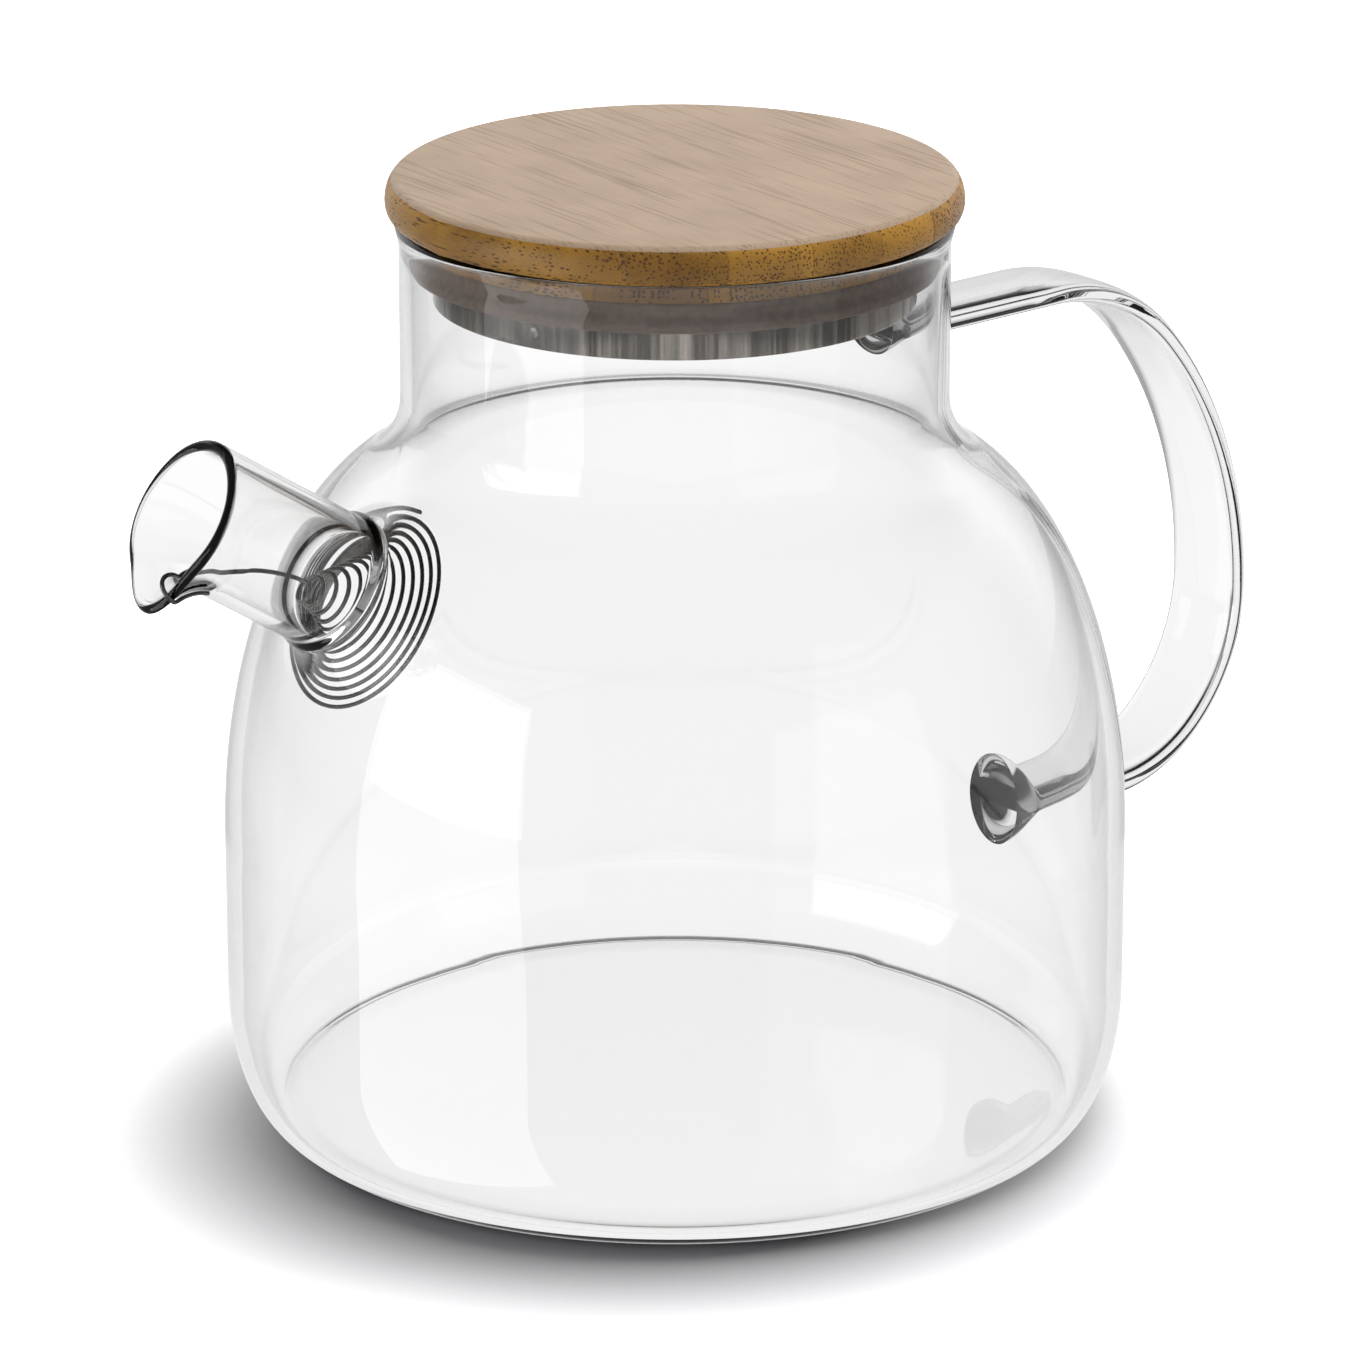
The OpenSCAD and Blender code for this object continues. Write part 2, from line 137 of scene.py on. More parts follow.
print("side walls shine at", SIDE_WALL, "of the sweep")

# %% [markdown]
# The floor is matt paper. To the eye it also glows, from nothing beside the pot to white a hand's
# width away, so it runs into the white behind. Beside the pot the lamps' real shadow shows, and the
# darker patch there is also painted shade, its middle put a little in front of the pot and to the
# left, on the side away from the light.

# %% Floor
SHADE_AT, SHADE_FROM, SHADE_TO = (-0.0174, -0.0115, 0), 0.048, 0.104
PAPER, PAPER_IN_SHADE = (0.9, 0.9, 0.92, 1), (0.12, 0.12, 0.13, 1)


def plane(name, half, z):
    """A flat square, its half width in metres, at height z."""
    mesh = bpy.data.meshes.new(name)
    corners = [(-half, -half, z), (half, -half, z), (half, half, z), (-half, half, z)]
    mesh.from_pydata(corners, [], [(0, 1, 2, 3)])
    made = bpy.data.objects.new(name, mesh)
    scene.collection.objects.link(made)
    return made


floor = plane("floor", 6.0, -0.0002)
floor.visible_glossy = False
print("floor is shaded from", SHADE_FROM / MM, "to", SHADE_TO / MM, "mm")

# %% Paper
paper, tree = new_material("white_paper_sweep")
path, glass_ray, fade = light_paths(tree)
# painted shade: an occlusion term, its half sphere tipped to the back and right, mixes the paper's colour towards
# PAPER_IN_SHADE beside the foot, a painted contact shadow
painted_contact_shade = add(tree, "ShaderNodeAmbientOcclusion", {
    "Color": WHITE, "Distance": 0.04, "Normal": (0.85, 0.0, 0.53)}, samples=16)
painted_contact_shade = add(tree, "ShaderNodeMath", {0: painted_contact_shade.outputs["AO"], 1: 1.4}, operation="POWER")
matt = add(tree, "ShaderNodeMix", {0: painted_contact_shade.outputs[0], 6: PAPER_IN_SHADE, 7: PAPER}, data_type="RGBA")
matt = add(tree, "ShaderNodeBsdfDiffuse", {"Color": matt.outputs[2]})
coords = add(tree, "ShaderNodeTexCoord")
# the glow fades out round SHADE_AT near the pot: painted shade that sets where the patch is darkest
away = add(tree, "ShaderNodeVectorMath", {0: coords.outputs["Object"], 1: SHADE_AT}, operation="DISTANCE")
far = add(tree, "ShaderNodeMapRange", {
    "Value": away.outputs["Value"], "From Min": SHADE_FROM, "From Max": SHADE_TO})
glow = add(tree, "ShaderNodeEmission", {"Color": WHITE, "Strength": far.outputs[0]})
lit = add(tree, "ShaderNodeAddShader", {0: matt.outputs[0], 1: glow.outputs[0]})
plain = add(tree, "ShaderNodeMixShader", {0: path.outputs["Is Camera Ray"], 1: matt.outputs[0], 2: lit.outputs[0]})
# through glass it is white straight behind the pot, and dim towards the side walls
aside = add(tree, "ShaderNodeVectorMath", {0: coords.outputs["Object"], 1: TO_THE_RIGHT}, operation="DOT_PRODUCT")
aside = add(tree, "ShaderNodeMath", {0: aside.outputs["Value"]}, operation="ABSOLUTE")
between = add(tree, "ShaderNodeMapRange", {
    "Value": aside.outputs[0], "From Min": 0.2, "From Max": 0.38, "To Min": 1.0, "To Max": SIDE_WALL})
between = add(tree, "ShaderNodeMath", {0: between.outputs[0], 1: fade}, operation="MULTIPLY")
white = add(tree, "ShaderNodeEmission", {"Color": WHITE, "Strength": between.outputs[0]})
pick = add(tree, "ShaderNodeMixShader", {0: glass_ray, 1: plain.outputs[0], 2: white.outputs[0]})
add(tree, "ShaderNodeOutputMaterial", {"Surface": pick.outputs[0]})
floor.data.materials.append(paper)
print("paper nodes:", len(tree.nodes))

# %% [markdown]
# The world is the rest of the sweep. It is white up to a height and behind the pot, and dim above
# and at the sides. Rays off the outside of the pot that don't go to the back see a dim room.

# %% World
ROOM, DARK_TOP = 0.26, 0.04
world = bpy.data.worlds.new("studio")
scene.world = world
world.use_nodes = True
tree = world.node_tree
tree.nodes.clear()
path, glass_ray, fade = light_paths(tree)
camera_ray = path.outputs["Is Camera Ray"]
coords = add(tree, "ShaderNodeTexCoord")
height = add(tree, "ShaderNodeSeparateXYZ", {0: coords.outputs["Generated"]})
behind = add(tree, "ShaderNodeVectorMath", {0: coords.outputs["Generated"], 1: TO_THE_BACK}, operation="DOT_PRODUCT")
behind = add(tree, "ShaderNodeMapRange", {
    "Value": behind.outputs["Value"], "From Min": 0.4, "From Max": 0.7, "To Min": SIDE_WALL, "To Max": 1.0})
sky = add(tree, "ShaderNodeMapRange", {
    "Value": height.outputs["Z"], "From Min": 0.42, "From Max": 0.6, "To Min": 1.0, "To Max": DARK_TOP})
for factor, operation in ((behind.outputs[0], "MULTIPLY"), (fade, "MULTIPLY"), (camera_ray, "MAXIMUM")):
    sky = add(tree, "ShaderNodeMath", {0: sky.outputs[0], 1: factor}, operation=operation)
# a ray reflected inside the pot sees the same white as one that goes through
inside = add(tree, "ShaderNodeMath", {0: path.outputs["Transmission Depth"], 1: 0.5}, operation="GREATER_THAN")
inside = add(tree, "ShaderNodeMath", {0: inside.outputs[0], 1: glass_ray}, operation="MULTIPLY")
# so does one that the side of the pot throws on towards the back
thrown = add(tree, "ShaderNodeMath", {0: path.outputs["Is Glossy Ray"], 1: behind.outputs[0]}, operation="MULTIPLY")
seen = add(tree, "ShaderNodeMath", {
    0: path.outputs["Is Transmission Ray"], 1: inside.outputs[0]}, operation="MAXIMUM")
for ray in (camera_ray, thrown.outputs[0]):
    seen = add(tree, "ShaderNodeMath", {0: seen.outputs[0], 1: ray}, operation="MAXIMUM")
room = add(tree, "ShaderNodeBackground", {"Color": WHITE, "Strength": ROOM})
white = add(tree, "ShaderNodeBackground", {"Color": WHITE, "Strength": sky.outputs[0]})
pick = add(tree, "ShaderNodeMixShader", {0: seen.outputs[0], 1: room.outputs[0], 2: white.outputs[0]})
add(tree, "ShaderNodeOutputWorld", {"Surface": pick.outputs[0]})
print("world nodes:", len(tree.nodes))

# %% [markdown]
# Two tall lamps stand low at the sides and leave long white windows on the belly. The third hangs
# high on the right, lights the lid, and is kept out of the glass.

# %% Lamps
def soft_lamp(name, azimuth, elevation, distance, width, height, power):
    """A rectangular lamp on a sphere round the pot, turned to its middle. Azimuth 0 is the side of -Y."""
    data = bpy.data.lights.new(name, "AREA")
    data.shape, data.size, data.size_y, data.energy = "RECTANGLE", width, height, power
    lamp = bpy.data.objects.new(name, data)
    scene.collection.objects.link(lamp)
    a, e = np.radians(azimuth), np.radians(elevation)
    back = Vector((np.sin(a) * np.cos(e), -np.cos(a) * np.cos(e), np.sin(e)))
    lamp.location = Vector((0, 0, 0.07)) + back * distance
    lamp.rotation_euler = (-back).to_track_quat("-Z", "Y").to_euler()
    lamp.visible_camera = False
    return lamp


CAMERA_SIDE = -40
soft_lamp("window_left", CAMERA_SIDE - 61, -12, 1.3, 1.1, 1.8, 11)
soft_lamp("window_right", CAMERA_SIDE + 47, -12, 1.6, 1.36, 2.0, 3)
overhead = soft_lamp("overhead", CAMERA_SIDE + 120, 70, 1.1, 1.0, 1.0, 15)
overhead.visible_glossy = overhead.visible_transmission = False

# %% [markdown]
# ## Surfaces from numbers
# Every new piece is a sheet of points worked out at once with numpy. Rows of points become a
# grid of four-sided faces. Points that fall together, at a seam or a pole, are merged, so each
# piece closes, and its faces are then turned outwards.

# %% Helpers for meshes
def grid_faces(rows, columns, close_rows=False, close_columns=False):
    """Corner numbers of the faces between neighbouring rows and columns of a grid of points."""
    i = np.arange(rows if close_rows else rows - 1)
    j = np.arange(columns if close_columns else columns - 1)
    i, j = np.meshgrid(i, j, indexing="ij")
    i2, j2 = (i + 1) % rows, (j + 1) % columns
    return np.stack([i * columns + j, i2 * columns + j, i2 * columns + j2, i * columns + j2], -1).reshape(-1, 4)


def piece(name, parts, body, nodes, material, sharp=40):
    """One closed mesh from parts, each an array of points in mm and its arrays of faces, that rides on a body."""
    points, faces, start = [], [], 0
    for p, *face_lists in parts:
        points.append(np.asarray(p, float).reshape(-1, 3) * MM)
        for f in face_lists:
            faces.extend((np.asarray(f) + start).tolist())
        start += len(points[-1])
    mesh = bpy.data.meshes.new(name)
    mesh.from_pydata(np.concatenate(points).tolist(), [], faces)
    bm = bmesh.new()
    bm.from_mesh(mesh)
    bmesh.ops.remove_doubles(bm, verts=bm.verts, dist=2e-7)
    bmesh.ops.dissolve_degenerate(bm, edges=bm.edges, dist=1e-8)
    bmesh.ops.recalc_face_normals(bm, faces=bm.faces)
    if bm.calc_volume(signed=True) < 0:
        bmesh.ops.reverse_faces(bm, faces=bm.faces)
    return finish_piece(name, mesh, bm, body, nodes, material, sharp)


def finish_piece(name, mesh, bm, body, nodes, material, sharp):
    """Smooth the faces, keep edges over `sharp` degrees crisp, attach the piece to its body and hide the solids it
    stands for.
    """
    for face in bm.faces:
        face.smooth = True
    for edge in bm.edges:
        if len(edge.link_faces) == 2 and edge.calc_face_angle(0) > np.radians(sharp):
            edge.smooth = False
    open_edges = sum(len(e.link_faces) != 2 for e in bm.edges)
    bm.to_mesh(mesh)
    bm.free()
    made = bpy.data.objects.new(name, mesh)
    scene.collection.objects.link(made)
    mesh.materials.append(material)
    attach(made, body)
    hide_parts(*nodes)
    print(name, "faces:", len(mesh.polygons), "open edges:", open_edges)
    return made


def blend(a, b, k):
    """From a to b by the share k."""
    return a + (b - a) * k


print("halfway from 2 to 4 is", blend(2, 4, 0.5))

# %% [markdown]
# ## Glass
# Borosilicate glass is clear and fire-polished, so it has no roughness of its own. Its index of
# refraction is 1.47. Its body takes up a little light, so thick places look greyer. The dark edges
# are painted shade: the glass colour darkens where the eye looks along the surface, pale on the
# thin blown pot, deeper on the drawn tube, and nearly black on the thick strap. Lamps shine
# through glass, so a Transparent shader takes its place for shadow rays, darker towards the edges.

# %% Glass material
GLASS_IOR, BODY_TINT, BODY_DENSITY = 1.47, "#bdbcbd", 10.0
SHADOW_OF_GLASS = (0.96, 0.96, 0.97, 1), (0.04, 0.04, 0.05, 1)
# the painted shade on the lower weld: its middle, and the radii where it is full and where it ends, in metres
PAINTED_WELD_SHADE_AT, PAINTED_WELD_SHADE_CORE, PAINTED_WELD_SHADE_EDGE = (0.0705, 0, 0.0324), 0.0036, 0.005


def clear_glass(name, edge, ramp=(0.62, 0.97), painted_weld_shade=False):
    """Clear glass, its colour painted with edge shade from white to edge over the ramp of Facing; the last flag also
    paints shade, near black, into the lower weld's core.
    """
    material, tree = new_material(name)
    facing = add(tree, "ShaderNodeLayerWeight", {"Blend": 0.5})
    painted_tint = add(tree, "ShaderNodeValToRGB", {"Fac": facing.outputs["Facing"]})
    for stop, at, seen in zip(painted_tint.color_ramp.elements, ramp, (WHITE, linear(edge))):
        stop.position, stop.color = at, seen
    colour = painted_tint.outputs["Color"]
    if painted_weld_shade:
        # painted shade: the glass colour is multiplied by near black in a ball round the lower weld's core, for the
        # dark look of the thick drop
        place = add(tree, "ShaderNodeTexCoord").outputs["Object"]
        away = add(tree, "ShaderNodeVectorMath", {0: place, 1: PAINTED_WELD_SHADE_AT}, operation="DISTANCE")
        deep = add(tree, "ShaderNodeMapRange", {
            "Value": away.outputs["Value"], "From Min": PAINTED_WELD_SHADE_CORE, "From Max": PAINTED_WELD_SHADE_EDGE,
            "To Min": 1.0, "To Max": 0.0})
        dark = add(tree, "ShaderNodeMix", {
            "Factor": deep.outputs[0], 6: colour, 7: linear("#040404")}, data_type="RGBA", blend_type="MULTIPLY")
        colour = dark.outputs[2]
    glass = add(tree, "ShaderNodeBsdfPrincipled", {
        "Base Color": colour, "Roughness": 0.0, "IOR": GLASS_IOR, "Transmission Weight": 1.0})
    shade = add(tree, "ShaderNodeValToRGB", {"Fac": facing.outputs["Facing"]})
    for stop, at, let in zip(shade.color_ramp.elements, (0.15, 0.85), SHADOW_OF_GLASS):
        stop.position, stop.color = at, let
    clear = add(tree, "ShaderNodeBsdfTransparent", {"Color": shade.outputs["Color"]})
    path = add(tree, "ShaderNodeLightPath")
    surface = add(tree, "ShaderNodeMixShader", {
        0: path.outputs["Is Shadow Ray"], 1: glass.outputs[0], 2: clear.outputs[0]})
    body = add(tree, "ShaderNodeVolumeAbsorption", {"Color": linear(BODY_TINT), "Density": BODY_DENSITY})
    add(tree, "ShaderNodeOutputMaterial", {"Surface": surface.outputs[0], "Volume": body.outputs[0]})
    return material


# each second colour is the painted edge shade at grazing angles
pot_glass = clear_glass("blown_borosilicate_glass", "#8a8b8f")
tube_glass = clear_glass("drawn_glass_tube", "#66676a")
# the strap also takes the painted shade in its lower weld
strap_glass = clear_glass("pressed_glass_strap", "#0c0d0f", ramp=(0.55, 0.93), painted_weld_shade=True)
print("glass materials:", pot_glass.name, tube_glass.name, strap_glass.name)

# %% [markdown]
# ## Body of the pot
# A blown pot is a solid of revolution, so its wall is one outline turned round the axis. The
# outline is made of a quarter ellipse at the base, a straight belly, a larger quarter ellipse for
# the shoulder, a hollow curve and a straight neck. The inner outline is the same one moved in by
# the wall's thickness.

# %% Outline of the wall
BELLY_R, BELLY_Z, NECK_R, RIM_Z = 70.0, 45.0, 42.0, 142.8
CORNER, DOME, FILLET = (8.0, 20.0), (32.0, 62.0), 12.5
FLOOR_WALL, BELLY_WALL, NECK_WALL = 2.0, 2.4, 1.9
BEAD_R, FOOT_RISE = 1.3, 0.7
WINDOW_HALF, WINDOW_LOW, WINDOW_HIGH = 14, 74.0, 109.0


def ellipse(centre, axes, degrees):
    """Points on an ellipse and its outward normals: (a cos t, b sin t) and (b cos t, a sin t) made unit."""
    t = np.radians(degrees)
    p = np.stack([centre[0] + axes[0] * np.cos(t), centre[1] + axes[1] * np.sin(t)], -1)
    n = np.stack([axes[1] * np.cos(t), axes[0] * np.sin(t)], -1)
    return p, n / np.linalg.norm(n, axis=-1, keepdims=True)


def fillet_start():
    """Angle on the shoulder where a circle of the fillet's radius touches both it and the neck, by halving."""
    low, high = 20.0, 88.0
    for _ in range(50):
        middle = (low + high) / 2
        p, n = ellipse((BELLY_R - DOME[0], BELLY_Z), DOME, middle)
        low, high = (middle, high) if p[0] + FILLET * n[0] > NECK_R + FILLET else (low, middle)
    return middle


DOME_END = fillet_start()
_p, _n = ellipse((BELLY_R - DOME[0], BELLY_Z), DOME, DOME_END)
FILLET_C = _p + FILLET * _n
FILLET_FROM = np.degrees(np.arctan2(*(_p - FILLET_C)[::-1]))


def wall(inwards, counts=(22, 8, 60, 16, 12)):
    """The outline from the base corner to the top of the neck, moved in by inwards times the wall's thickness."""
    corner, belly, dome, fillet, neck = counts
    t = np.linspace(-90, 0, corner)
    p, n = ellipse((BELLY_R - CORNER[0], CORNER[1]), CORNER, t)
    a = p - inwards * blend(FLOOR_WALL, BELLY_WALL, (t[:, None] + 90) / 90) * n
    z = np.linspace(CORNER[1], BELLY_Z, belly)[1:-1]
    b = np.stack([np.full_like(z, BELLY_R - inwards * BELLY_WALL), z], -1)
    t = np.linspace(0, DOME_END, dome)
    p, n = ellipse((BELLY_R - DOME[0], BELLY_Z), DOME, t)
    c = p - inwards * blend(BELLY_WALL, NECK_WALL, t[:, None] / DOME_END) * n
    t = np.linspace(FILLET_FROM, -180, fillet)[1:]
    d = FILLET_C + (FILLET + inwards * NECK_WALL) * np.stack([np.cos(np.radians(t)), np.sin(np.radians(t))], -1)
    z = np.linspace(FILLET_C[1], RIM_Z - 3 * BEAD_R, neck)[1:]
    e = np.stack([np.full_like(z, NECK_R - inwards * NECK_WALL), z], -1)
    return np.concatenate([a, b, c, d, e])


outer, inner = wall(0), wall(1)
print("outline points:", len(outer), "shoulder ends at", round(DOME_END, 1), "degrees")

# %% [markdown]
# The spout's stub is drawn out of the hot shoulder, so the wall has to leave its round outline
# there. The turned grid gets a square window around the spout. Inside it, rows of points pass from
# the window's edge to a circle, up the outside of the stub, over its end and down its inside, to
# the same window in the inner wall.

# %% Frame of the spout
TILT, TURN = np.radians(33.1), np.radians(6.0)
HEADING, UP = np.array([-np.cos(TURN), np.sin(TURN), 0]), np.array([0.0, 0.0, 1.0])
ALONG = HEADING * np.cos(TILT) + UP * np.sin(TILT)
ABOVE = UP * np.cos(TILT) - HEADING * np.sin(TILT)
ASIDE = np.cross(ABOVE, ALONG)
SPOUT_Z, SPOUT_R, SPOUT_WALL, SPOUT_LEN = 92.9, 10.6, 1.8, 34.3
BORE_R = SPOUT_R - SPOUT_WALL
_t = np.degrees(np.arcsin((SPOUT_Z - BELLY_Z) / DOME[1]))
_root = ellipse((BELLY_R - DOME[0], BELLY_Z), DOME, _t)[0]
ROOT = HEADING * _root[0] + UP * _root[1]
STUB_LEN, STUB_FILLET, WELD_RING, WELD_RUN = 4.4, 7.0, 0.7, 1.8
CURVE_TOP = 0.62 * STUB_FILLET


def from_spout(al, s, n):
    """Point of the pot at a distance along the spout's axis, to its side and above it."""
    return ROOT + al[..., None] * ALONG + s[..., None] * ASIDE + n[..., None] * ABOVE


def in_spout(p):
    """The same three distances of a point of the pot."""
    q = p - ROOT
    return q @ ALONG, q @ ASIDE, q @ ABOVE


def drop_on(outline, s, n):
    """How far along the spout's axis the wall lies at each (s, n), found by halving 40 times."""
    low, high = np.full(s.shape, -40.0), np.full(s.shape, 12.0)
    for _ in range(40):
        middle = (low + high) / 2
        p = from_spout(middle, s, n)
        outside = np.hypot(p[..., 0], p[..., 1]) > np.interp(p[..., 2], outline[:, 1], outline[:, 0])
        low, high = np.where(outside, low, middle), np.where(outside, middle, high)
    return middle


print("root of the spout in mm:", ROOT.round(1).tolist())


# %% Body mesh
def pot_body():
    """Outline turned round the axis: (r cos a, r sin a, z), with a window that is drawn out into the stub."""
    turns = 240
    # the bottom, from the middle out: level, then down to the foot that the pot stands on
    flat = np.array([0, 20, 40, 54, 59, 60.2, 61.0, 61.6])
    lift = FOOT_RISE * np.array([1, 1, 1, 1, 0.97, 0.78, 0.35, 0.06])
    t = np.radians(np.linspace(0, 180, 15))[1:-1]
    bead_c = np.array([NECK_R - NECK_WALL + BEAD_R, RIM_Z - BEAD_R])
    bead = bead_c + BEAD_R * np.stack([np.cos(t), np.sin(t)], -1)
    bottom = np.stack([flat, lift], -1)
    top = np.stack([flat, lift + FLOOR_WALL], -1)
    loop = np.concatenate([bottom, outer, bead, inner[::-1], top[::-1]])
    a = np.linspace(0, 2 * np.pi, turns, endpoint=False) - TURN
    grid = np.stack([np.outer(np.cos(a), loop[:, 0]), np.outer(np.sin(a), loop[:, 0]),
                     np.tile(loop[:, 1], (turns, 1))], -1)
    faces = grid_faces(turns, len(loop), close_rows=True)
    # the window: columns i1 to i2, and rows o1 to o2 of the outer wall, n1 to n2 of the inner one
    low, high = np.argmax(outer[:, 1] > WINDOW_LOW), np.argmax(outer[:, 1] > WINDOW_HIGH)
    i1, i2 = turns // 2 - WINDOW_HALF, turns // 2 + WINDOW_HALF
    o1, o2 = len(flat) + low, len(flat) + high
    n1, n2 = len(loop) - 1 - o1, len(loop) - 1 - o2
    i, j = faces[:, 0] // len(loop), faces[:, 0] % len(loop)
    in_window = (i >= i1) & (i < i2) & (((j >= o1) & (j < o2)) | ((j >= n2) & (j < n1)))
    rim_i = np.concatenate([np.arange(i1, i2), np.full(o2 - o1, i2), np.arange(i2, i1, -1), np.full(o2 - o1, i1)])
    rim_k = np.concatenate([np.full(i2 - i1, 0), np.arange(0, o2 - o1), np.full(i2 - i1, o2 - o1),
                            np.arange(o2 - o1, 0, -1)])
    edge_out, edge_in = grid[rim_i, o1 + rim_k], grid[rim_i, n1 - rim_k]
    stub = np.array([edge_out] + stub_rows(edge_out, edge_in) + [edge_in])
    return [(grid, faces[~in_window]), (stub, grid_faces(*stub.shape[:2], close_columns=True))]


# %% Rings of the stub
def stub_rows(edge_out, edge_in):
    """Rings from the window's edge to the stub: straight on the wall, a quarter circle, the weld ring, and back."""
    circle_r = SPOUT_R + STUB_FILLET + 0.5

    def on_wall(edge, outline, steps):
        """Rings that pass from the window's edge to a circle, each dropped on the wall."""
        _, s, n = in_spout(edge)
        turn = np.arctan2(n, s)
        out = []
        for k in steps:
            ss, nn = blend(s, circle_r * np.cos(turn), k), blend(n, circle_r * np.sin(turn), k)
            out.append(from_spout(drop_on(outline, ss, nn), ss, nn))
        return turn, out

    def curve(turn, outline, radius):
        """The hollow curve: a quarter ellipse that stands on the wall and ends level, all round, at CURVE_TOP."""
        inmost = SPOUT_R + STUB_FILLET - radius
        rise = CURVE_TOP - drop_on(outline, inmost * np.cos(turn), inmost * np.sin(turn))
        out = []
        for t in np.radians(np.concatenate([np.linspace(0, 70, 9), np.linspace(73, 90, 9)])):
            rho = SPOUT_R + STUB_FILLET - radius * np.sin(t)
            out.append((drop_on(outline, rho * np.cos(turn), rho * np.sin(turn)) + rise * (1 - np.cos(t)), rho))
        return out

    def with_weld(al, rho):
        """The weld ring on top of the curve: a cosine squared over WELD_RUN, highest at the seam."""
        return ring(al, rho + WELD_RING * np.cos(np.pi / 2 * np.clip((STUB_LEN - al) / WELD_RUN, 0, 1)) ** 2, turn_out)

    steps = np.linspace(0, 1, 6)[1:]
    turn_out, rows = on_wall(edge_out, outer, steps)
    turn_in, last = on_wall(edge_in, inner, steps)
    rows += [with_weld(al, rho) for al, rho in curve(turn_out, outer, STUB_FILLET)]
    for k in np.linspace(0, 1, 8):
        turn = blend(turn_out, np.unwrap(turn_in - turn_out) + turn_out, k)
        rows.append(ring(STUB_LEN, blend(SPOUT_R + WELD_RING, BORE_R, k), turn))
    rows += [ring(al, rho, turn_in) for al, rho in curve(turn_in, inner, STUB_FILLET + SPOUT_WALL)[::-1]]
    return rows + last[::-1]


def ring(al, rho, turn):
    """A ring of points round the spout's axis."""
    al = np.broadcast_to(al, turn.shape)
    return from_spout(al, rho * np.cos(turn), rho * np.sin(turn))


piece("pot_body", pot_body(), "pot", ["glass_body"], pot_glass, sharp=50)

# %% [markdown]
# ## Spout
# The spout is a length of drawn tube, fused to the stub in a flame, which leaves a raised ring of
# glass. Its mouth was opened with a tool while hot: it widens underneath and hangs down into a
# lip, so that tea pours in one stream and doesn't run back.

# %% Spout mesh
MOUTH_START, MOUTH_EDGE = SPOUT_LEN - 9.4, SPOUT_LEN - SPOUT_WALL / 2
MOUTH_OPEN, OPEN_HALF, LIP_DROP, LIP_HALF, LIP_TURN = 2.6, 136, 3.8, 50, 12


def tube_radius(turn, k, r):
    """Radius at an angle and a share k of the mouth: r, plus a wide cosine squared, plus a narrow one for the lip."""
    low = np.abs((np.degrees(turn) - LIP_TURN + 270) % 360 - 180)
    opening = np.cos(np.radians(90 * np.minimum(low / OPEN_HALF, 1))) ** 2
    lip = ((1 + np.cos(np.radians(180 * np.minimum(low / LIP_HALF, 1)))) / 2) ** 1.6
    return r + MOUTH_OPEN * k ** 1.8 * opening + LIP_DROP * k ** 2.4 * lip


def spout_rows():
    """One loop through the tube's wall, as distance along, share of the mouth and radius of the round tube."""
    ring_al = np.linspace(STUB_LEN + 0.01, STUB_LEN + WELD_RUN, 9)
    ring_r = SPOUT_R + WELD_RING * np.cos(np.pi / 2 * (ring_al - STUB_LEN) / WELD_RUN) ** 2
    straight = np.linspace(STUB_LEN + WELD_RUN, MOUTH_START, 14)[1:]
    k = np.linspace(0, 1, 26)[1:]
    mouth = blend(MOUTH_START, MOUTH_EDGE, k)
    t = np.radians(np.linspace(90, -90, 13))[1:-1]
    half, middle = SPOUT_WALL / 2, SPOUT_R - SPOUT_WALL / 2
    al = np.concatenate([ring_al, straight, mouth, MOUTH_EDGE + half * np.cos(t), mouth[::-1], straight[::-1],
                         ring_al[::-1]])
    r = np.concatenate([ring_r, np.full(len(straight) + len(k), SPOUT_R), middle + half * np.sin(t),
                        np.full(len(k) + len(straight) + len(ring_al), BORE_R)])
    share = np.concatenate([ring_al * 0, straight * 0, k, np.ones(len(t)), k[::-1], straight * 0, ring_al * 0])
    return al, share, r


def spout_tube(turns=144):
    """Each row of the loop turned round the spout's axis, its radius changed by tube_radius."""
    al, share, r = spout_rows()
    turn = np.linspace(0, 2 * np.pi, turns, endpoint=False)[None, :]
    rho = tube_radius(turn, share[:, None], r[:, None])
    points = from_spout(np.broadcast_to(al[:, None], rho.shape), rho * np.cos(turn), rho * np.sin(turn))
    return [(points, grid_faces(len(al), turns, close_rows=True, close_columns=True))]


piece("spout_tube", spout_tube(), "pot", ["spout"], tube_glass, sharp=50)

# %% [markdown]
# ## Handle
# The handle is a flat strap of glass with round edges, bent in four curves. Its section is carried
# along the path. Towards each end the section swells into the drop of melted glass that holds it
# to the pot, and its last rings lie on the pot's wall, so the weld has no gap.

# %% Path of the strap
STRAP_W, STRAP_T = 15.0, 4.0
REACH_X, REACH_Z, TOP_Z, LOW_Z = 114.4, 61.5, 117.8, 32.4
TOP_ARM_X, TOP_BEND_R = 72.99, 32.51
LOW_ARM_X, LOW_BEND_R = 87.01, 26.0
WELD_TOP, WELD_LOW = (5.8, 4.2, 3.4), (6.0, 7.4, 5.0)  # half width, half height, reach from the wall
SQUARE, SINK, LEAN_RUN, LEAN_ROWS = 0.6, 0.3, 9, 12


def second_radius(run, drop, r):
    """Radius of the second arc of a curve of two arcs that runs and drops so far, from its first radius r."""
    return (run * run + drop * drop - 2 * drop * r) / (2 * (run - r))


def arc_path(x, z, r, start, end, count):
    """Points on a circle with the direction of its outward normal: (x + r cos t, z + r sin t, t)."""
    t = np.linspace(start, end, count)
    return np.stack([x + r * np.cos(np.radians(t)), z + r * np.sin(np.radians(t)), t], -1)


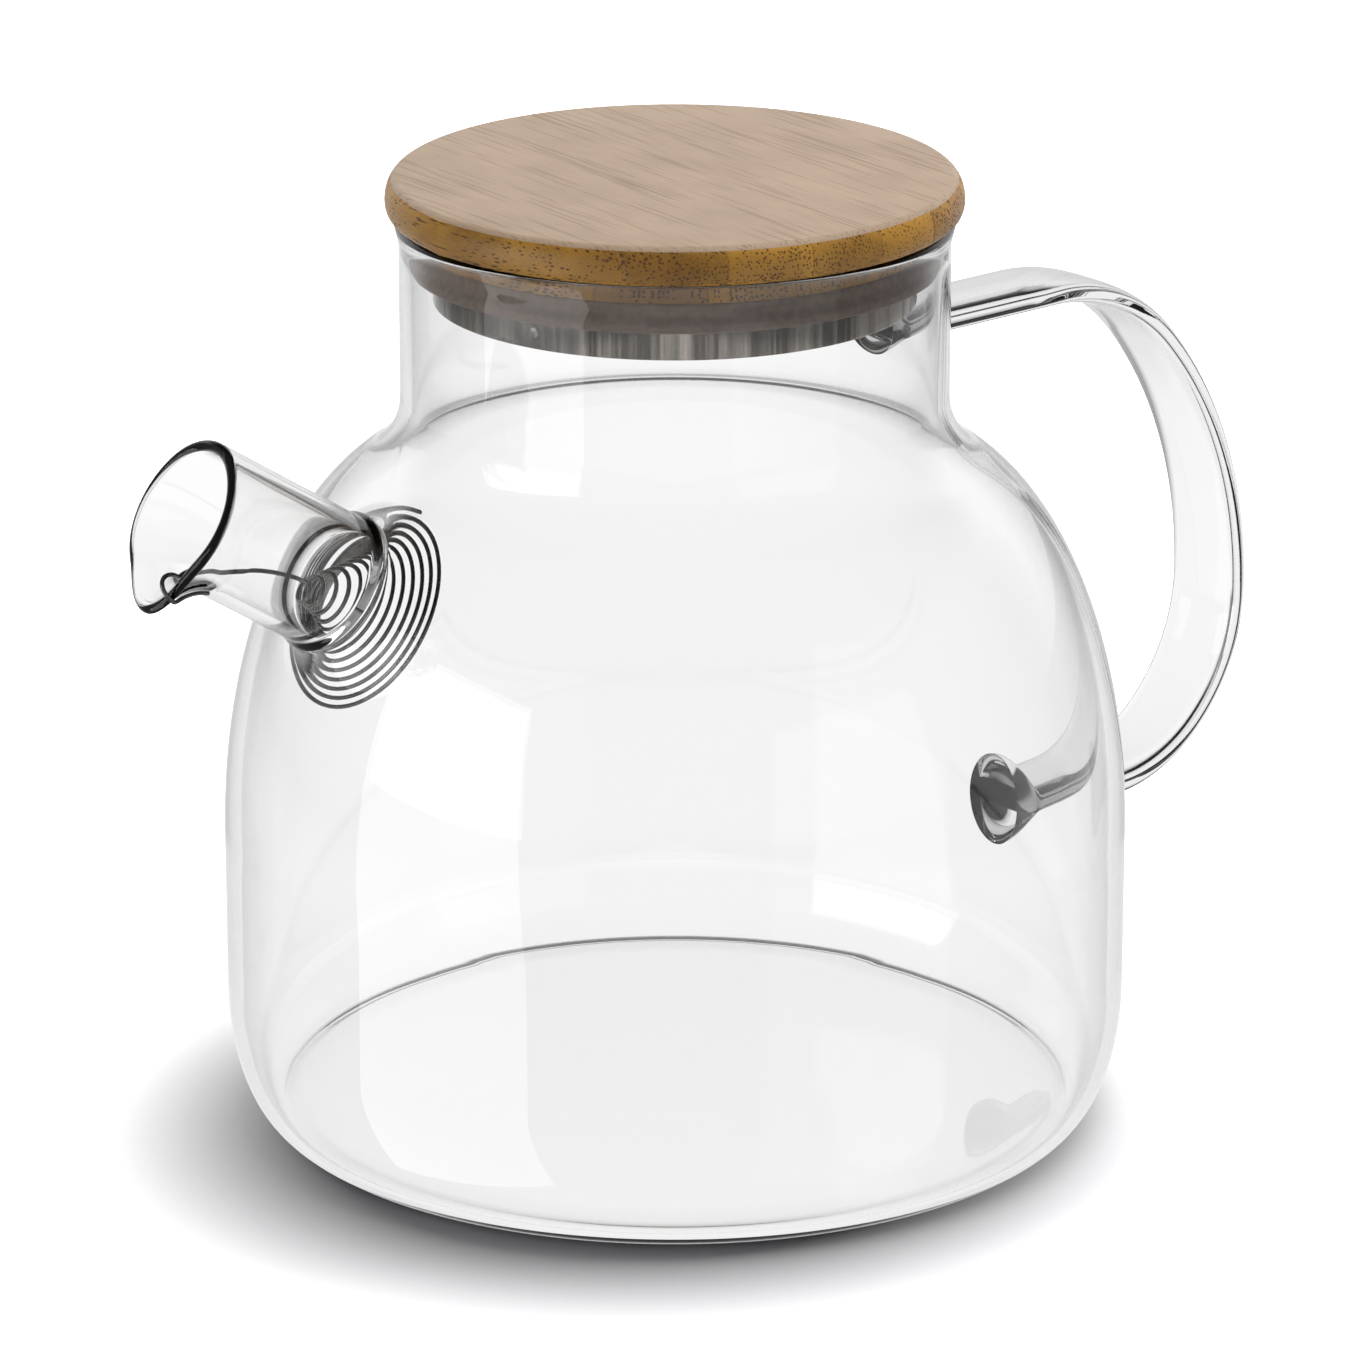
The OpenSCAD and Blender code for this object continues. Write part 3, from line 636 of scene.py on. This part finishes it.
def strap_path():
    """Straight arm, two arcs out to the reach, two arcs back and a straight arm, as rows of (x, z, normal)."""
    # rings crowd towards a wall, where the weld swells
    share = np.array([0, .05, .15, .3, .5, .8, 1.1, 1.5, 2, 2.5, 3, 3.5, 4, 4.5, 5, 5.6, 6.4, 7.5, 9, 12])
    top_r, top_run = TOP_BEND_R, REACH_X - TOP_ARM_X
    top_r2 = second_radius(top_run, TOP_Z - REACH_Z, top_r)
    top_turn = np.degrees(np.arctan2(TOP_Z - REACH_Z - top_r, top_r2 - top_run))
    low_r, low_run = LOW_BEND_R, REACH_X - LOW_ARM_X
    low_r2 = second_radius(low_run, REACH_Z - LOW_Z, low_r)
    low_turn = np.degrees(np.arctan2(REACH_Z - LOW_Z - low_r, low_r2 - low_run))
    top = np.concatenate([NECK_R + share, np.linspace(NECK_R + 15, TOP_ARM_X, 8)[:-1]])
    low = np.concatenate([BELLY_R + share, [BELLY_R + 14.5]])[::-1]
    return np.concatenate([
        np.stack([top, np.full(len(top), TOP_Z), np.full(len(top), 90.0)], -1),
        arc_path(TOP_ARM_X, TOP_Z - top_r, top_r, 90, top_turn, 30),
        arc_path(REACH_X - top_r2, REACH_Z, top_r2, top_turn, 0, 44)[1:],
        arc_path(REACH_X - low_r2, REACH_Z, low_r2, 0, -low_turn, 30)[1:],
        arc_path(LOW_ARM_X, LOW_Z + low_r, low_r, -low_turn, -90, 26)[1:],
        np.stack([low, np.full(len(low), LOW_Z), np.full(len(low), -90.0)], -1)])


bends = strap_path()[:, :2]
print("strap length in mm:", np.linalg.norm(np.diff(bends, axis=0), axis=1).sum().round(0))


# %% Strap mesh
def oval(wide, tall, square, turn):
    """Section of the strap, a superellipse: (a |cos|^e, b |sin|^e) with their signs, a plain ellipse at e = 1."""
    c, s = np.cos(turn), np.sin(turn)
    return wide * np.sign(c) * np.abs(c) ** square, tall * np.sign(s) * np.abs(s) ** square


def strap(count=64):
    """The section carried along the path. Near a wall it swells to a round weld, and its rings bend to the wall."""
    path = strap_path()
    turn = np.linspace(0, 2 * np.pi, count, endpoint=False) + np.pi / count
    side, out = oval(STRAP_W / 2, STRAP_T / 2, SQUARE, turn)
    x, z, t = path[:, 0], path[:, 1], np.radians(path[:, 2])
    points = np.stack([x[:, None] + np.outer(np.cos(t), out), np.broadcast_to(side, (len(path), count)),
                       z[:, None] + np.outer(np.sin(t), out)], -1)
    ends = [(x - NECK_R, TOP_Z, WELD_TOP, path[:, 2] == 90, 1), (x - BELLY_R, LOW_Z, WELD_LOW, path[:, 2] == -90, -1)]
    for away, height, (broad, high, reach), here, up in ends:
        k = np.sqrt(np.clip(1 - (away / reach) ** 2, 0, 1))
        swell = np.where(here & (away < reach), k, 0)[:, None]
        tall = np.hypot(STRAP_T / 2, high * swell)
        s, o = oval(blend(STRAP_W / 2, broad, swell), tall, blend(SQUARE, 1, swell), turn)
        near = here & (away < LEAN_ROWS)
        wall_x = np.sqrt(np.interp(height + up * o, outer[:, 1], outer[:, 0]) ** 2 - s ** 2)
        start = NECK_R if up > 0 else BELLY_R
        lean = np.clip(1 - away / LEAN_RUN, 0, 1)[:, None] ** 2
        new = np.stack([x[:, None] + (wall_x - start - SINK) * lean, s, height + up * o], -1)
        points[near] = new[near]
    caps = []
    for row, height, up in ((points[0], TOP_Z, 1), (points[-1], LOW_Z, -1)):
        k = np.array([0.75, 0.5, 0.25, 0])[:, None]
        y, zz = row[:, 1] * k, height + (row[:, 2] - height) * k
        caps.append(np.stack([np.sqrt(np.interp(zz, outer[:, 1], outer[:, 0]) ** 2 - y ** 2) - SINK, y, zz], -1))
    points = np.concatenate([caps[0][::-1], points, caps[1]])
    return [(points, grid_faces(len(points), count, close_columns=True))]


piece("handle_strap", strap(), "pot", ["handle"], strap_glass, sharp=70)

# %% [markdown]
# ## Bamboo
# Bamboo is a grass. Its stem is a pale ground full of thin dark bundles of fibre that all run one
# way. Cut along, they show as streaks; cut across, as dots about half a millimetre apart. So one
# pattern does for the whole lid: cells across the grain, stretched along it. The turned edge then
# goes from streaks to dots by itself, as the real one does. The plank is glued from strips, each
# a little lighter or darker than the next, and the strips, edge and all, are coloured a deeper
# amber than the paler face sheet on top.

# %% Bamboo materials
GRAIN = 86.0  # degrees from X to the grain
STRIP_W, STRIPS = 12.6, 7


def grain_space(tree, along=0.02):
    """Object coordinates in mm, turned so that X runs along the grain, and X squeezed to stretch a pattern."""
    coords = add(tree, "ShaderNodeTexCoord")
    turned = add(tree, "ShaderNodeMapping", {
        "Vector": coords.outputs["Object"], "Rotation": (0, 0, -np.radians(GRAIN)), "Scale": (1000, 1000, 1000)},
        vector_type="POINT")
    squeezed = add(tree, "ShaderNodeMapping", {
        "Vector": turned.outputs[0], "Scale": (along, 1, 1)}, vector_type="POINT")
    return turned.outputs[0], squeezed.outputs[0]


def bamboo(name, shift, pale, deep, dot, dots, clouds=0.6):
    """Bamboo: a ground from deep to pale, and bundles of fibre, coloured dot, from cells across the grain."""
    material, tree = new_material(name)
    plain, grain = grain_space(tree)
    # bundles: one in each cell of about 0.5 mm, its size changing slowly across the plank
    moved = add(tree, "ShaderNodeMapping", {"Vector": grain, "Location": (0, shift * 3.7, shift * 1.3)},
                vector_type="POINT")
    cells = add(tree, "ShaderNodeTexVoronoi", {"Vector": moved.outputs[0], "Scale": 1.9, "Randomness": 0.85})
    drift = add(tree, "ShaderNodeTexNoise", {"Vector": moved.outputs[0], "Scale": 0.16, "Detail": 2.0})
    size = add(tree, "ShaderNodeMapRange", {
        "Value": drift.outputs["Fac"], "From Min": 0.35, "From Max": 0.62, "To Min": 0.14, "To Max": 0.32})
    soft = add(tree, "ShaderNodeMath", {0: size.outputs[0], 1: 0.12}, operation="ADD")
    bundle = add(tree, "ShaderNodeMapRange", {
        "Value": cells.outputs["Distance"], "From Min": size.outputs[0], "From Max": soft.outputs[0],
        "To Min": 1.0, "To Max": 0.0})
    # fibre streaks of 0.15 mm, the strip's own tone (shift), and clouds of some 10 mm
    fine = add(tree, "ShaderNodeTexNoise", {"Vector": moved.outputs[0], "Scale": 6.0, "Detail": 3.0})
    slow = add(tree, "ShaderNodeTexNoise", {"Vector": plain, "Scale": 0.09, "Detail": 2.0})
    tone = add(tree, "ShaderNodeMath", {
        0: fine.outputs["Fac"], 1: 0.45, 2: shift * 0.12 + 0.3 - clouds / 2}, operation="MULTIPLY_ADD")
    tone = add(tree, "ShaderNodeMath", {
        0: slow.outputs["Fac"], 1: clouds, 2: tone.outputs[0]}, operation="MULTIPLY_ADD")
    ground = add(tree, "ShaderNodeValToRGB", {"Fac": tone.outputs[0]})
    for stop, at, colour in zip(ground.color_ramp.elements, (0.3, 0.72), (deep, pale)):
        stop.position, stop.color = at, linear(colour)
    amount = add(tree, "ShaderNodeMath", {0: bundle.outputs[0], 1: dots}, operation="MULTIPLY")
    colour = add(tree, "ShaderNodeMix", {
        0: amount.outputs[0], 6: ground.outputs["Color"], 7: linear(dot)}, data_type="RGBA")
    dent = add(tree, "ShaderNodeMath", {0: fine.outputs["Fac"], 1: amount.outputs[0]}, operation="SUBTRACT")
    bump = add(tree, "ShaderNodeBump", {"Height": dent.outputs[0], "Strength": 0.25, "Distance": 0.00006})
    rough = add(tree, "ShaderNodeMapRange", {
        "Value": amount.outputs[0], "To Min": 0.42, "To Max": 0.6})
    wood = add(tree, "ShaderNodeBsdfPrincipled", {
        "Base Color": colour.outputs[2], "Roughness": rough.outputs[0], "IOR": 1.5, "Normal": bump.outputs[0]})
    add(tree, "ShaderNodeOutputMaterial", {"Surface": wood.outputs[0]})
    return material


face_bamboo = bamboo("pale_bamboo_face", 0.4, "#ad967f", "#89735b", "#6b5642", dots=0.4, clouds=0.3)
strip_bamboo = [bamboo(f"amber_bamboo_strip_{i + 1}", shift, "#b5842f", "#6e4a17", "#42260c", dots=0.85)
                for i, shift in enumerate((0.2, -0.5, 0.7, -0.1, 0.5, -0.7, 0.1))]
print("bamboo materials:", 1 + len(strip_bamboo))

# %% [markdown]
# ## Lid of glued strips
# Cap and plug are turned from one plank, so each strip of the plank is a slice of a solid of
# revolution. At a distance y from the axis a circle of radius R is cut at x = sqrt(R^2 - y^2), so
# each strip is a grid of such cuts. A shallow groove along the glue lines catches a little shade.

# %% Outline of the lid
CAP_R, CAP_Z, CAP_TOP, FACE_Z, WIDE_Z = 44.0, 143.1, 149.0, 148.4, 145.283
PLUG_R, SEAL_TOP, SEAL_LOW, BAND_LOW, PLUG_LOW = 39.4, 139.7, 135.1, 130.3, 131.5
BAND_R, CORE_R, LIP_R = 36.8, 36.3, 39.8
GLUE, GROOVE, GROOVE_RUN = 0.004, 0.12, 0.3
FACE_TURN = np.degrees(np.arcsin((FACE_Z - WIDE_Z) / (CAP_TOP - WIDE_Z)))


def cap_edge(degrees):
    """Rounded edge of the cap: two quarter ellipses that meet at its widest line; -90 is below, 90 on top."""
    t = np.radians(degrees)
    run, rise = np.where(t < 0, 1.3, 2.2), np.where(t < 0, WIDE_Z - CAP_Z, CAP_TOP - WIDE_Z)
    return np.stack([CAP_R - run + run * np.cos(t), WIDE_Z + rise * np.sin(t)], -1)


def turned(profile, turns=192):
    """A closed outline of (r, z) turned round the axis, as points and faces; points on the axis merge to a pole."""
    a = np.linspace(0, 2 * np.pi, turns, endpoint=False)[:, None]
    r, z = profile[None, :, 0], profile[None, :, 1]
    points = np.stack([r * np.cos(a), r * np.sin(a), np.broadcast_to(z, (turns, len(profile)))], -1)
    off_axis = bool(profile[[0, -1], 0].any())
    return [(points, grid_faces(turns, len(profile), close_rows=True, close_columns=off_axis))]


print("the face sheet begins", round(FACE_TURN, 1), "degrees up the cap's edge")


# %% Strips
def lid_outline():
    """Half outline of the lid block from the bottom of its plug to the underside of the face sheet."""
    corner = np.array([[CORE_R - 0.3, PLUG_LOW], [CORE_R - 0.1, PLUG_LOW + 0.08], [CORE_R, PLUG_LOW + 0.3],
                       [CORE_R, SEAL_TOP], [PLUG_R - 0.15, SEAL_TOP], [PLUG_R, SEAL_TOP + 0.15], [PLUG_R, CAP_Z]])
    return np.concatenate([corner, cap_edge(np.linspace(-90, 0, 12)), cap_edge(np.linspace(0, FACE_TURN, 12)[1:])])


def lid_strip(number):
    """Slice of the lid block: grid of x = +-sqrt(R^2 - y^2), R less a groove at the glue lines."""
    low, high = (np.array([number - 1, number]) - STRIPS / 2) * STRIP_W + [GLUE, -GLUE]
    low, high = max(low, -CAP_R), min(high, CAP_R)
    # cuts crowd at the glue lines, at the cap's edge, and where the plug's corners lie
    y = np.linspace(low, high, 19)
    near = np.array([0.06, 0.12, 0.2, 0.3])
    close = CAP_R - np.array([0.02, 0.08, 0.2, 0.4, 0.7])
    rims = np.array([CORE_R - 0.3, CORE_R, CORE_R - 0.1, CORE_R - 0.5, PLUG_R, PLUG_R - 0.15, PLUG_R - 0.4])
    y = np.concatenate([y, low + near, high - near, close, -close, rims, -rims])
    y = np.unique(y[(y >= low) & (y <= high)].round(4))
    gap = np.minimum(np.where(low > -CAP_R, y - low, 9), np.where(high < CAP_R, high - y, 9))
    groove = GROOVE * np.clip(1 - gap / GROOVE_RUN, 0, 1) ** 2
    half = lid_outline()
    r = half[None, :, 0] - groove[:, None]
    x = np.sqrt(np.clip(r ** 2 - y[:, None] ** 2, 0, None))
    yy, z = np.broadcast_to(y[:, None], x.shape), np.broadcast_to(half[None, :, 1], x.shape)
    loop = np.concatenate([np.stack([x, yy, z], -1), np.stack([-x, yy, z], -1)[:, ::-1]], 1)
    count = loop.shape[1]
    faces = grid_faces(len(y), count, close_columns=True)
    flat = loop.reshape(-1, 3)
    faces = faces[~np.all(np.abs(flat[faces][:, :, 0]) < 1e-6, axis=1)]
    ends = np.array([i for i in (0, len(y) - 1) if abs(abs(y[i]) - CAP_R) > 0.01])
    sides = ends[:, None] * count + np.arange(count)
    turn = np.radians(GRAIN)
    points = np.stack([flat[:, 0] * np.cos(turn) - flat[:, 1] * np.sin(turn),
                       flat[:, 0] * np.sin(turn) + flat[:, 1] * np.cos(turn), flat[:, 2]], -1)
    return [(points, faces, sides)]


for number in range(1, STRIPS + 1):
    piece(f"bamboo_strip_{number}", lid_strip(number), "lid", [f"lid_strip_{number}"],
          strip_bamboo[number - 1], sharp=35)

# %% Face sheet
edge = cap_edge(np.linspace(FACE_TURN, 90, 14))
face_profile = np.concatenate([[[0, FACE_Z], [20, FACE_Z]], edge, [[30, CAP_TOP], [15, CAP_TOP], [0, CAP_TOP]]])
piece("cap_face", turned(face_profile), "lid", ["lid_face"], face_bamboo, sharp=35)

# %% [markdown]
# ## Seal and band
# The seal is a skirt of moulded silicone, matt and slightly soft to light. The band under it is a
# strip of stainless steel, brushed round its length. Its fine upright bars are partly a real bump
# from the brushing and partly painted reflection, darkening its colour towards near black. Small
# nails through the band hold it to the plug.

# %% Seal and band materials
silicone, tree = new_material("moulded_silicone")
coords = add(tree, "ShaderNodeTexCoord")
dust = add(tree, "ShaderNodeTexNoise", {"Vector": coords.outputs["Object"], "Scale": 900.0, "Detail": 3.0})
shade = add(tree, "ShaderNodeValToRGB", {"Fac": dust.outputs["Fac"]})
for stop, at, colour in zip(shade.color_ramp.elements, (0.3, 0.7), ("#756458", "#88776b")):
    stop.position, stop.color = at, linear(colour)
grit = add(tree, "ShaderNodeBump", {"Height": dust.outputs["Fac"], "Strength": 0.1, "Distance": 0.00005})
rubber = add(tree, "ShaderNodeBsdfPrincipled", {
    "Base Color": shade.outputs["Color"], "Roughness": 0.5, "IOR": 1.41, "Subsurface Weight": 0.08,
    "Subsurface Radius": (0.002, 0.0015, 0.001), "Normal": grit.outputs[0]})
add(tree, "ShaderNodeOutputMaterial", {"Surface": rubber.outputs[0]})
print("seal material:", silicone.name)


# %% Steel
def steel(name, colour, rough, brushing_and_painted_bars):
    """Stainless steel, a metal at the default IOR; the last argument sets the brushed bars round the axis, as a bump
    and as painted reflection in the colour, 0 none.
    """
    material, tree = new_material(name)
    coords = add(tree, "ShaderNodeTexCoord")
    flat = add(tree, "ShaderNodeMapping", {"Vector": coords.outputs["Object"], "Scale": (1, 1, 0.02)},
               vector_type="POINT")
    bars = add(tree, "ShaderNodeTexNoise", {"Vector": flat.outputs[0], "Scale": 900.0, "Detail": 2.0})
    wide = add(tree, "ShaderNodeTexNoise", {"Vector": flat.outputs[0], "Scale": 160.0, "Detail": 2.0})
    both = add(tree, "ShaderNodeMath", {0: bars.outputs["Fac"], 1: wide.outputs["Fac"]}, operation="ADD")
    tone = add(tree, "ShaderNodeMapRange", {
        "Value": both.outputs[0], "From Min": 0.86, "From Max": 1.2, "To Min": 1 - 0.9 * brushing_and_painted_bars, "To Max": 1.0})
    # painted reflection: the bars mix the steel's colour towards near black
    painted_tint = add(tree, "ShaderNodeMix", {0: tone.outputs[0], 6: (0.05, 0.045, 0.04, 1), 7: linear(colour)},
               data_type="RGBA")
    bump = add(tree, "ShaderNodeBump", {"Height": both.outputs[0], "Strength": 0.35 * brushing_and_painted_bars, "Distance": 0.00005})
    metal = add(tree, "ShaderNodeBsdfPrincipled", {
        "Base Color": painted_tint.outputs[2], "Metallic": 1.0, "Roughness": rough, "Normal": bump.outputs[0]})
    add(tree, "ShaderNodeOutputMaterial", {"Surface": metal.outputs[0]})
    return material


# colour, roughness and the strength of the bars, which are partly painted reflection
band_steel = steel("brushed_stainless_band", "#a39c94", 0.2, 1.0)
nail_steel = steel("drawn_steel_nail", "#8f8a85", 0.3, 0.2)
wire_steel = steel("drawn_stainless_wire", "#6b6967", 0.15, 0.15)
print("metals:", band_steel.name, nail_steel.name, wire_steel.name)

# %% Seal and band meshes
seal_profile = np.array([
    [CORE_R, SEAL_TOP], [PLUG_R - 0.8, SEAL_TOP], [PLUG_R - 0.68, SEAL_TOP - 0.04], [PLUG_R - 0.5, SEAL_TOP - 0.25],
    [PLUG_R - 0.4, SEAL_TOP - 0.6], [PLUG_R - 0.4, SEAL_TOP - 1.4], [PLUG_R - 0.32, SEAL_TOP - 1.9],
    [PLUG_R - 0.15, SEAL_TOP - 2.4], [LIP_R - 0.12, SEAL_LOW + 1.6], [LIP_R - 0.02, SEAL_LOW + 1.15],
    [LIP_R, SEAL_LOW + 0.8], [LIP_R - 0.03, SEAL_LOW + 0.5], [LIP_R - 0.14, SEAL_LOW + 0.22],
    [LIP_R - 0.32, SEAL_LOW + 0.05], [LIP_R - 0.55, SEAL_LOW], [CORE_R, SEAL_LOW]])
piece("seal_skirt", turned(seal_profile), "lid", ["lid_seal"], silicone, sharp=50)
roll = np.radians(np.linspace(0, 90, 5))[:, None]
roll = np.concatenate([np.cos(roll), np.sin(roll)], -1) * 0.2
high = [BAND_R - 0.2, SEAL_LOW - 0.2] + roll
low = [BAND_R - 0.2, BAND_LOW + 0.2] + roll[::-1] * [1, -1]
band_profile = np.concatenate([[[CORE_R, BAND_LOW]], low, high, [[CORE_R, SEAL_LOW]]])
piece("band_ring", turned(band_profile), "lid", ["steel_band"], band_steel, sharp=50)


# %% Nails
NAIL_Z, FIRST_NAIL, HEAD_R, SHANK_R = 132.892, 196, 0.9, 0.45


def nails():
    """Three nails: each a shank and a domed head turned round an axis that points out from the lid's own."""
    t = np.radians(np.linspace(0, 90, 7))
    head = np.stack([HEAD_R * np.cos(t), BAND_R + 0.02 + 0.23 * np.sin(t)], -1)
    shank = np.array([[0, 33.3], [0.3, 33.3], [SHANK_R, 33.6], [SHANK_R, BAND_R - 0.1], [HEAD_R, BAND_R - 0.1]])
    profile = np.concatenate([shank, head])
    a = np.linspace(0, 2 * np.pi, 24, endpoint=False)[:, None]
    out = np.broadcast_to(profile[None, :, 1], (24, len(profile)))
    side, up = profile[None, :, 0] * np.cos(a), profile[None, :, 0] * np.sin(a)
    parts = []
    for turn in np.radians(FIRST_NAIL + 120 * np.arange(3)):
        x, y = out * np.cos(turn) - side * np.sin(turn), out * np.sin(turn) + side * np.cos(turn)
        parts.append((np.stack([x, y, NAIL_Z + up], -1), grid_faces(24, len(profile), close_rows=True)))
    return parts


piece("band_nails", nails(), "lid", ["band_pins"], nail_steel, sharp=60)

# %% [markdown]
# ## Wire filter
# One stainless wire is wound into a coil that flares into the pot and holds back the leaves. A
# straight end runs up the spout and hooks over the lip, so the coil can be pulled out to clean.
# The wire is a circle carried along a path of points. A vector across the path turns with it, so
# the rings of points never twist.

# %% Wire path
WIRE_R, COIL_TURNS, STEPS = 0.35, 13, 24
COIL_SMALL, COIL_BIG, COIL_OUT, COIL_IN = 3.4, 32.2, 9.0, -5.3
COIL_LOW, COIL_SAG, COIL_SPREAD, COIL_BELL = 1.2, 2.2, 1.25, 1.55
HOOK, SLACK, TAIL_GAP, HOOK_REACH, TAIL_END, LEAD_BOW = -58.0, 1.35, 0.4, 2.9, 0.294, 0.8


def coil_turn(i):
    """Share k of the coil left at its point i, and the angle round the spout's axis in degrees."""
    k = 1 - i / (COIL_TURNS * STEPS)
    return k, 90 - 360 * COIL_TURNS * k


def coil(i):
    """Coil point: the radius grows as k ** COIL_SPREAD, and the cone flattens as (1 - k) ** COIL_BELL."""
    k, a = coil_turn(i)
    a = np.radians(a)
    r = blend(COIL_SMALL, COIL_BIG, k ** COIL_SPREAD) / 2
    along = blend(COIL_OUT, COIL_IN, 1 - (1 - k) ** COIL_BELL)
    return np.stack([along, r * np.cos(a), r * np.sin(a) - COIL_LOW - COIL_SAG * (1 - k) ** 6], -1)


def lip_line(k, r, gap):
    """Distance along and from the axis, at a gap from the lip's surface, where the wire's hook passes."""
    a = np.full(len(k), np.radians(HOOK))
    return np.stack([blend(MOUTH_START, MOUTH_EDGE, k), tube_radius(a, k, r) + gap], -1)


def wire_path():
    """Coil, a lead with a slight bow, the line inside the lip, a half turn round it and the tail outside."""
    inside = lip_line(np.array([0.15, 0.35, 0.55, 0.7, 0.8, 0.9, 1]), BORE_R, -SLACK - WIRE_R)
    outside = lip_line(np.linspace(1, TAIL_END, 6), SPOUT_R, TAIL_GAP + WIRE_R)
    middle, half = (inside[-1] + outside[0]) / 2, (outside[0] - inside[-1]) / 2
    t = np.radians(np.arange(-72, 73, 18))[:, None]
    turn = middle + np.concatenate([HOOK_REACH * np.cos(t), half[1] * np.sin(t)], -1)
    stem = np.concatenate([inside, turn, outside])
    a = np.radians(HOOK)
    stem = np.stack([stem[:, 0], stem[:, 1] * np.cos(a), stem[:, 1] * np.sin(a)], -1)
    end = coil(np.array([COIL_TURNS * STEPS]))[0]
    u = (np.arange(1, 9) / 9)[:, None]
    lead = blend(end, stem[0], u) + np.array([0, 0, LEAD_BOW]) * np.sin(np.pi * u)
    turns = coil(np.arange(COIL_TURNS * STEPS - 1))
    around = coil_turn(np.arange(len(turns)))[1]
    around = np.radians(np.concatenate([around, blend(90, HOOK + 180, u[:, 0]), np.full(len(stem), HOOK + 180)]))
    radial = np.stack([0 * around, np.cos(around), np.sin(around)], -1)
    hooked = np.arange(len(around)) >= len(turns) + len(lead)
    return np.concatenate([turns, lead, stem]), radial, hooked


def smooth_path(p, steps=3):
    """Points between the points of a path: a Catmull-Rom cubic through each four neighbours."""
    q = np.concatenate([2 * p[:1] - p[1:2], p, 2 * p[-1:] - p[-2:-1]])
    t = (np.arange(steps) / steps)[None, :, None]
    a, b, c, d = (q[i:len(q) - 3 + i, None, :] for i in range(4))
    mid = 0.5 * (2 * b + (c - a) * t + (2 * a - 5 * b + 4 * c - d) * t ** 2 + (3 * b - a - 3 * c + d) * t ** 3)
    return np.concatenate([mid.reshape(-1, 3), p[-1:]])


def unit(v):
    """Vectors made one long."""
    return v / np.linalg.norm(v, axis=-1, keepdims=True)


def with_ends(v):
    """Rows with the first and the last there three times, for the rings that round off the cut ends."""
    return np.concatenate([v[:1], v[:1], v, v[-1:], v[-1:]])[:, None]


path_points = smooth_path(wire_path()[0])
print("wire length in mm:", np.linalg.norm(np.diff(path_points, axis=0), axis=1).sum().round(0))


# %% Wire mesh
def wire(sides=10):
    """Circle carried along the path: across = radial x tangent on the coil, and a fixed vector on the hook."""
    p, radial, hooked = wire_path()
    tangent = unit(np.gradient(p, axis=0))
    across = unit(np.cross(radial, tangent))
    across[hooked] = across[np.argmax(hooked) - 1]
    p, across = smooth_path(p), smooth_path(across)
    tangent = unit(np.gradient(p, axis=0))
    across = unit(across - (across * tangent).sum(-1, keepdims=True) * tangent)
    other = np.cross(tangent, across)
    a = np.linspace(0, 2 * np.pi, sides, endpoint=False)[None, :, None]
    r = np.concatenate([[0, 0.8], np.ones(len(p)), [0.8, 0]])[:, None, None] * WIRE_R
    q = with_ends(p) + r * (np.cos(a) * with_ends(across) + np.sin(a) * with_ends(other))
    return [(from_spout(q[..., 0], q[..., 1], q[..., 2]), grid_faces(len(q), sides, close_columns=True))]


piece("filter_wire", wire(), "filter", ["spout_filter"], wire_steel, sharp=60)
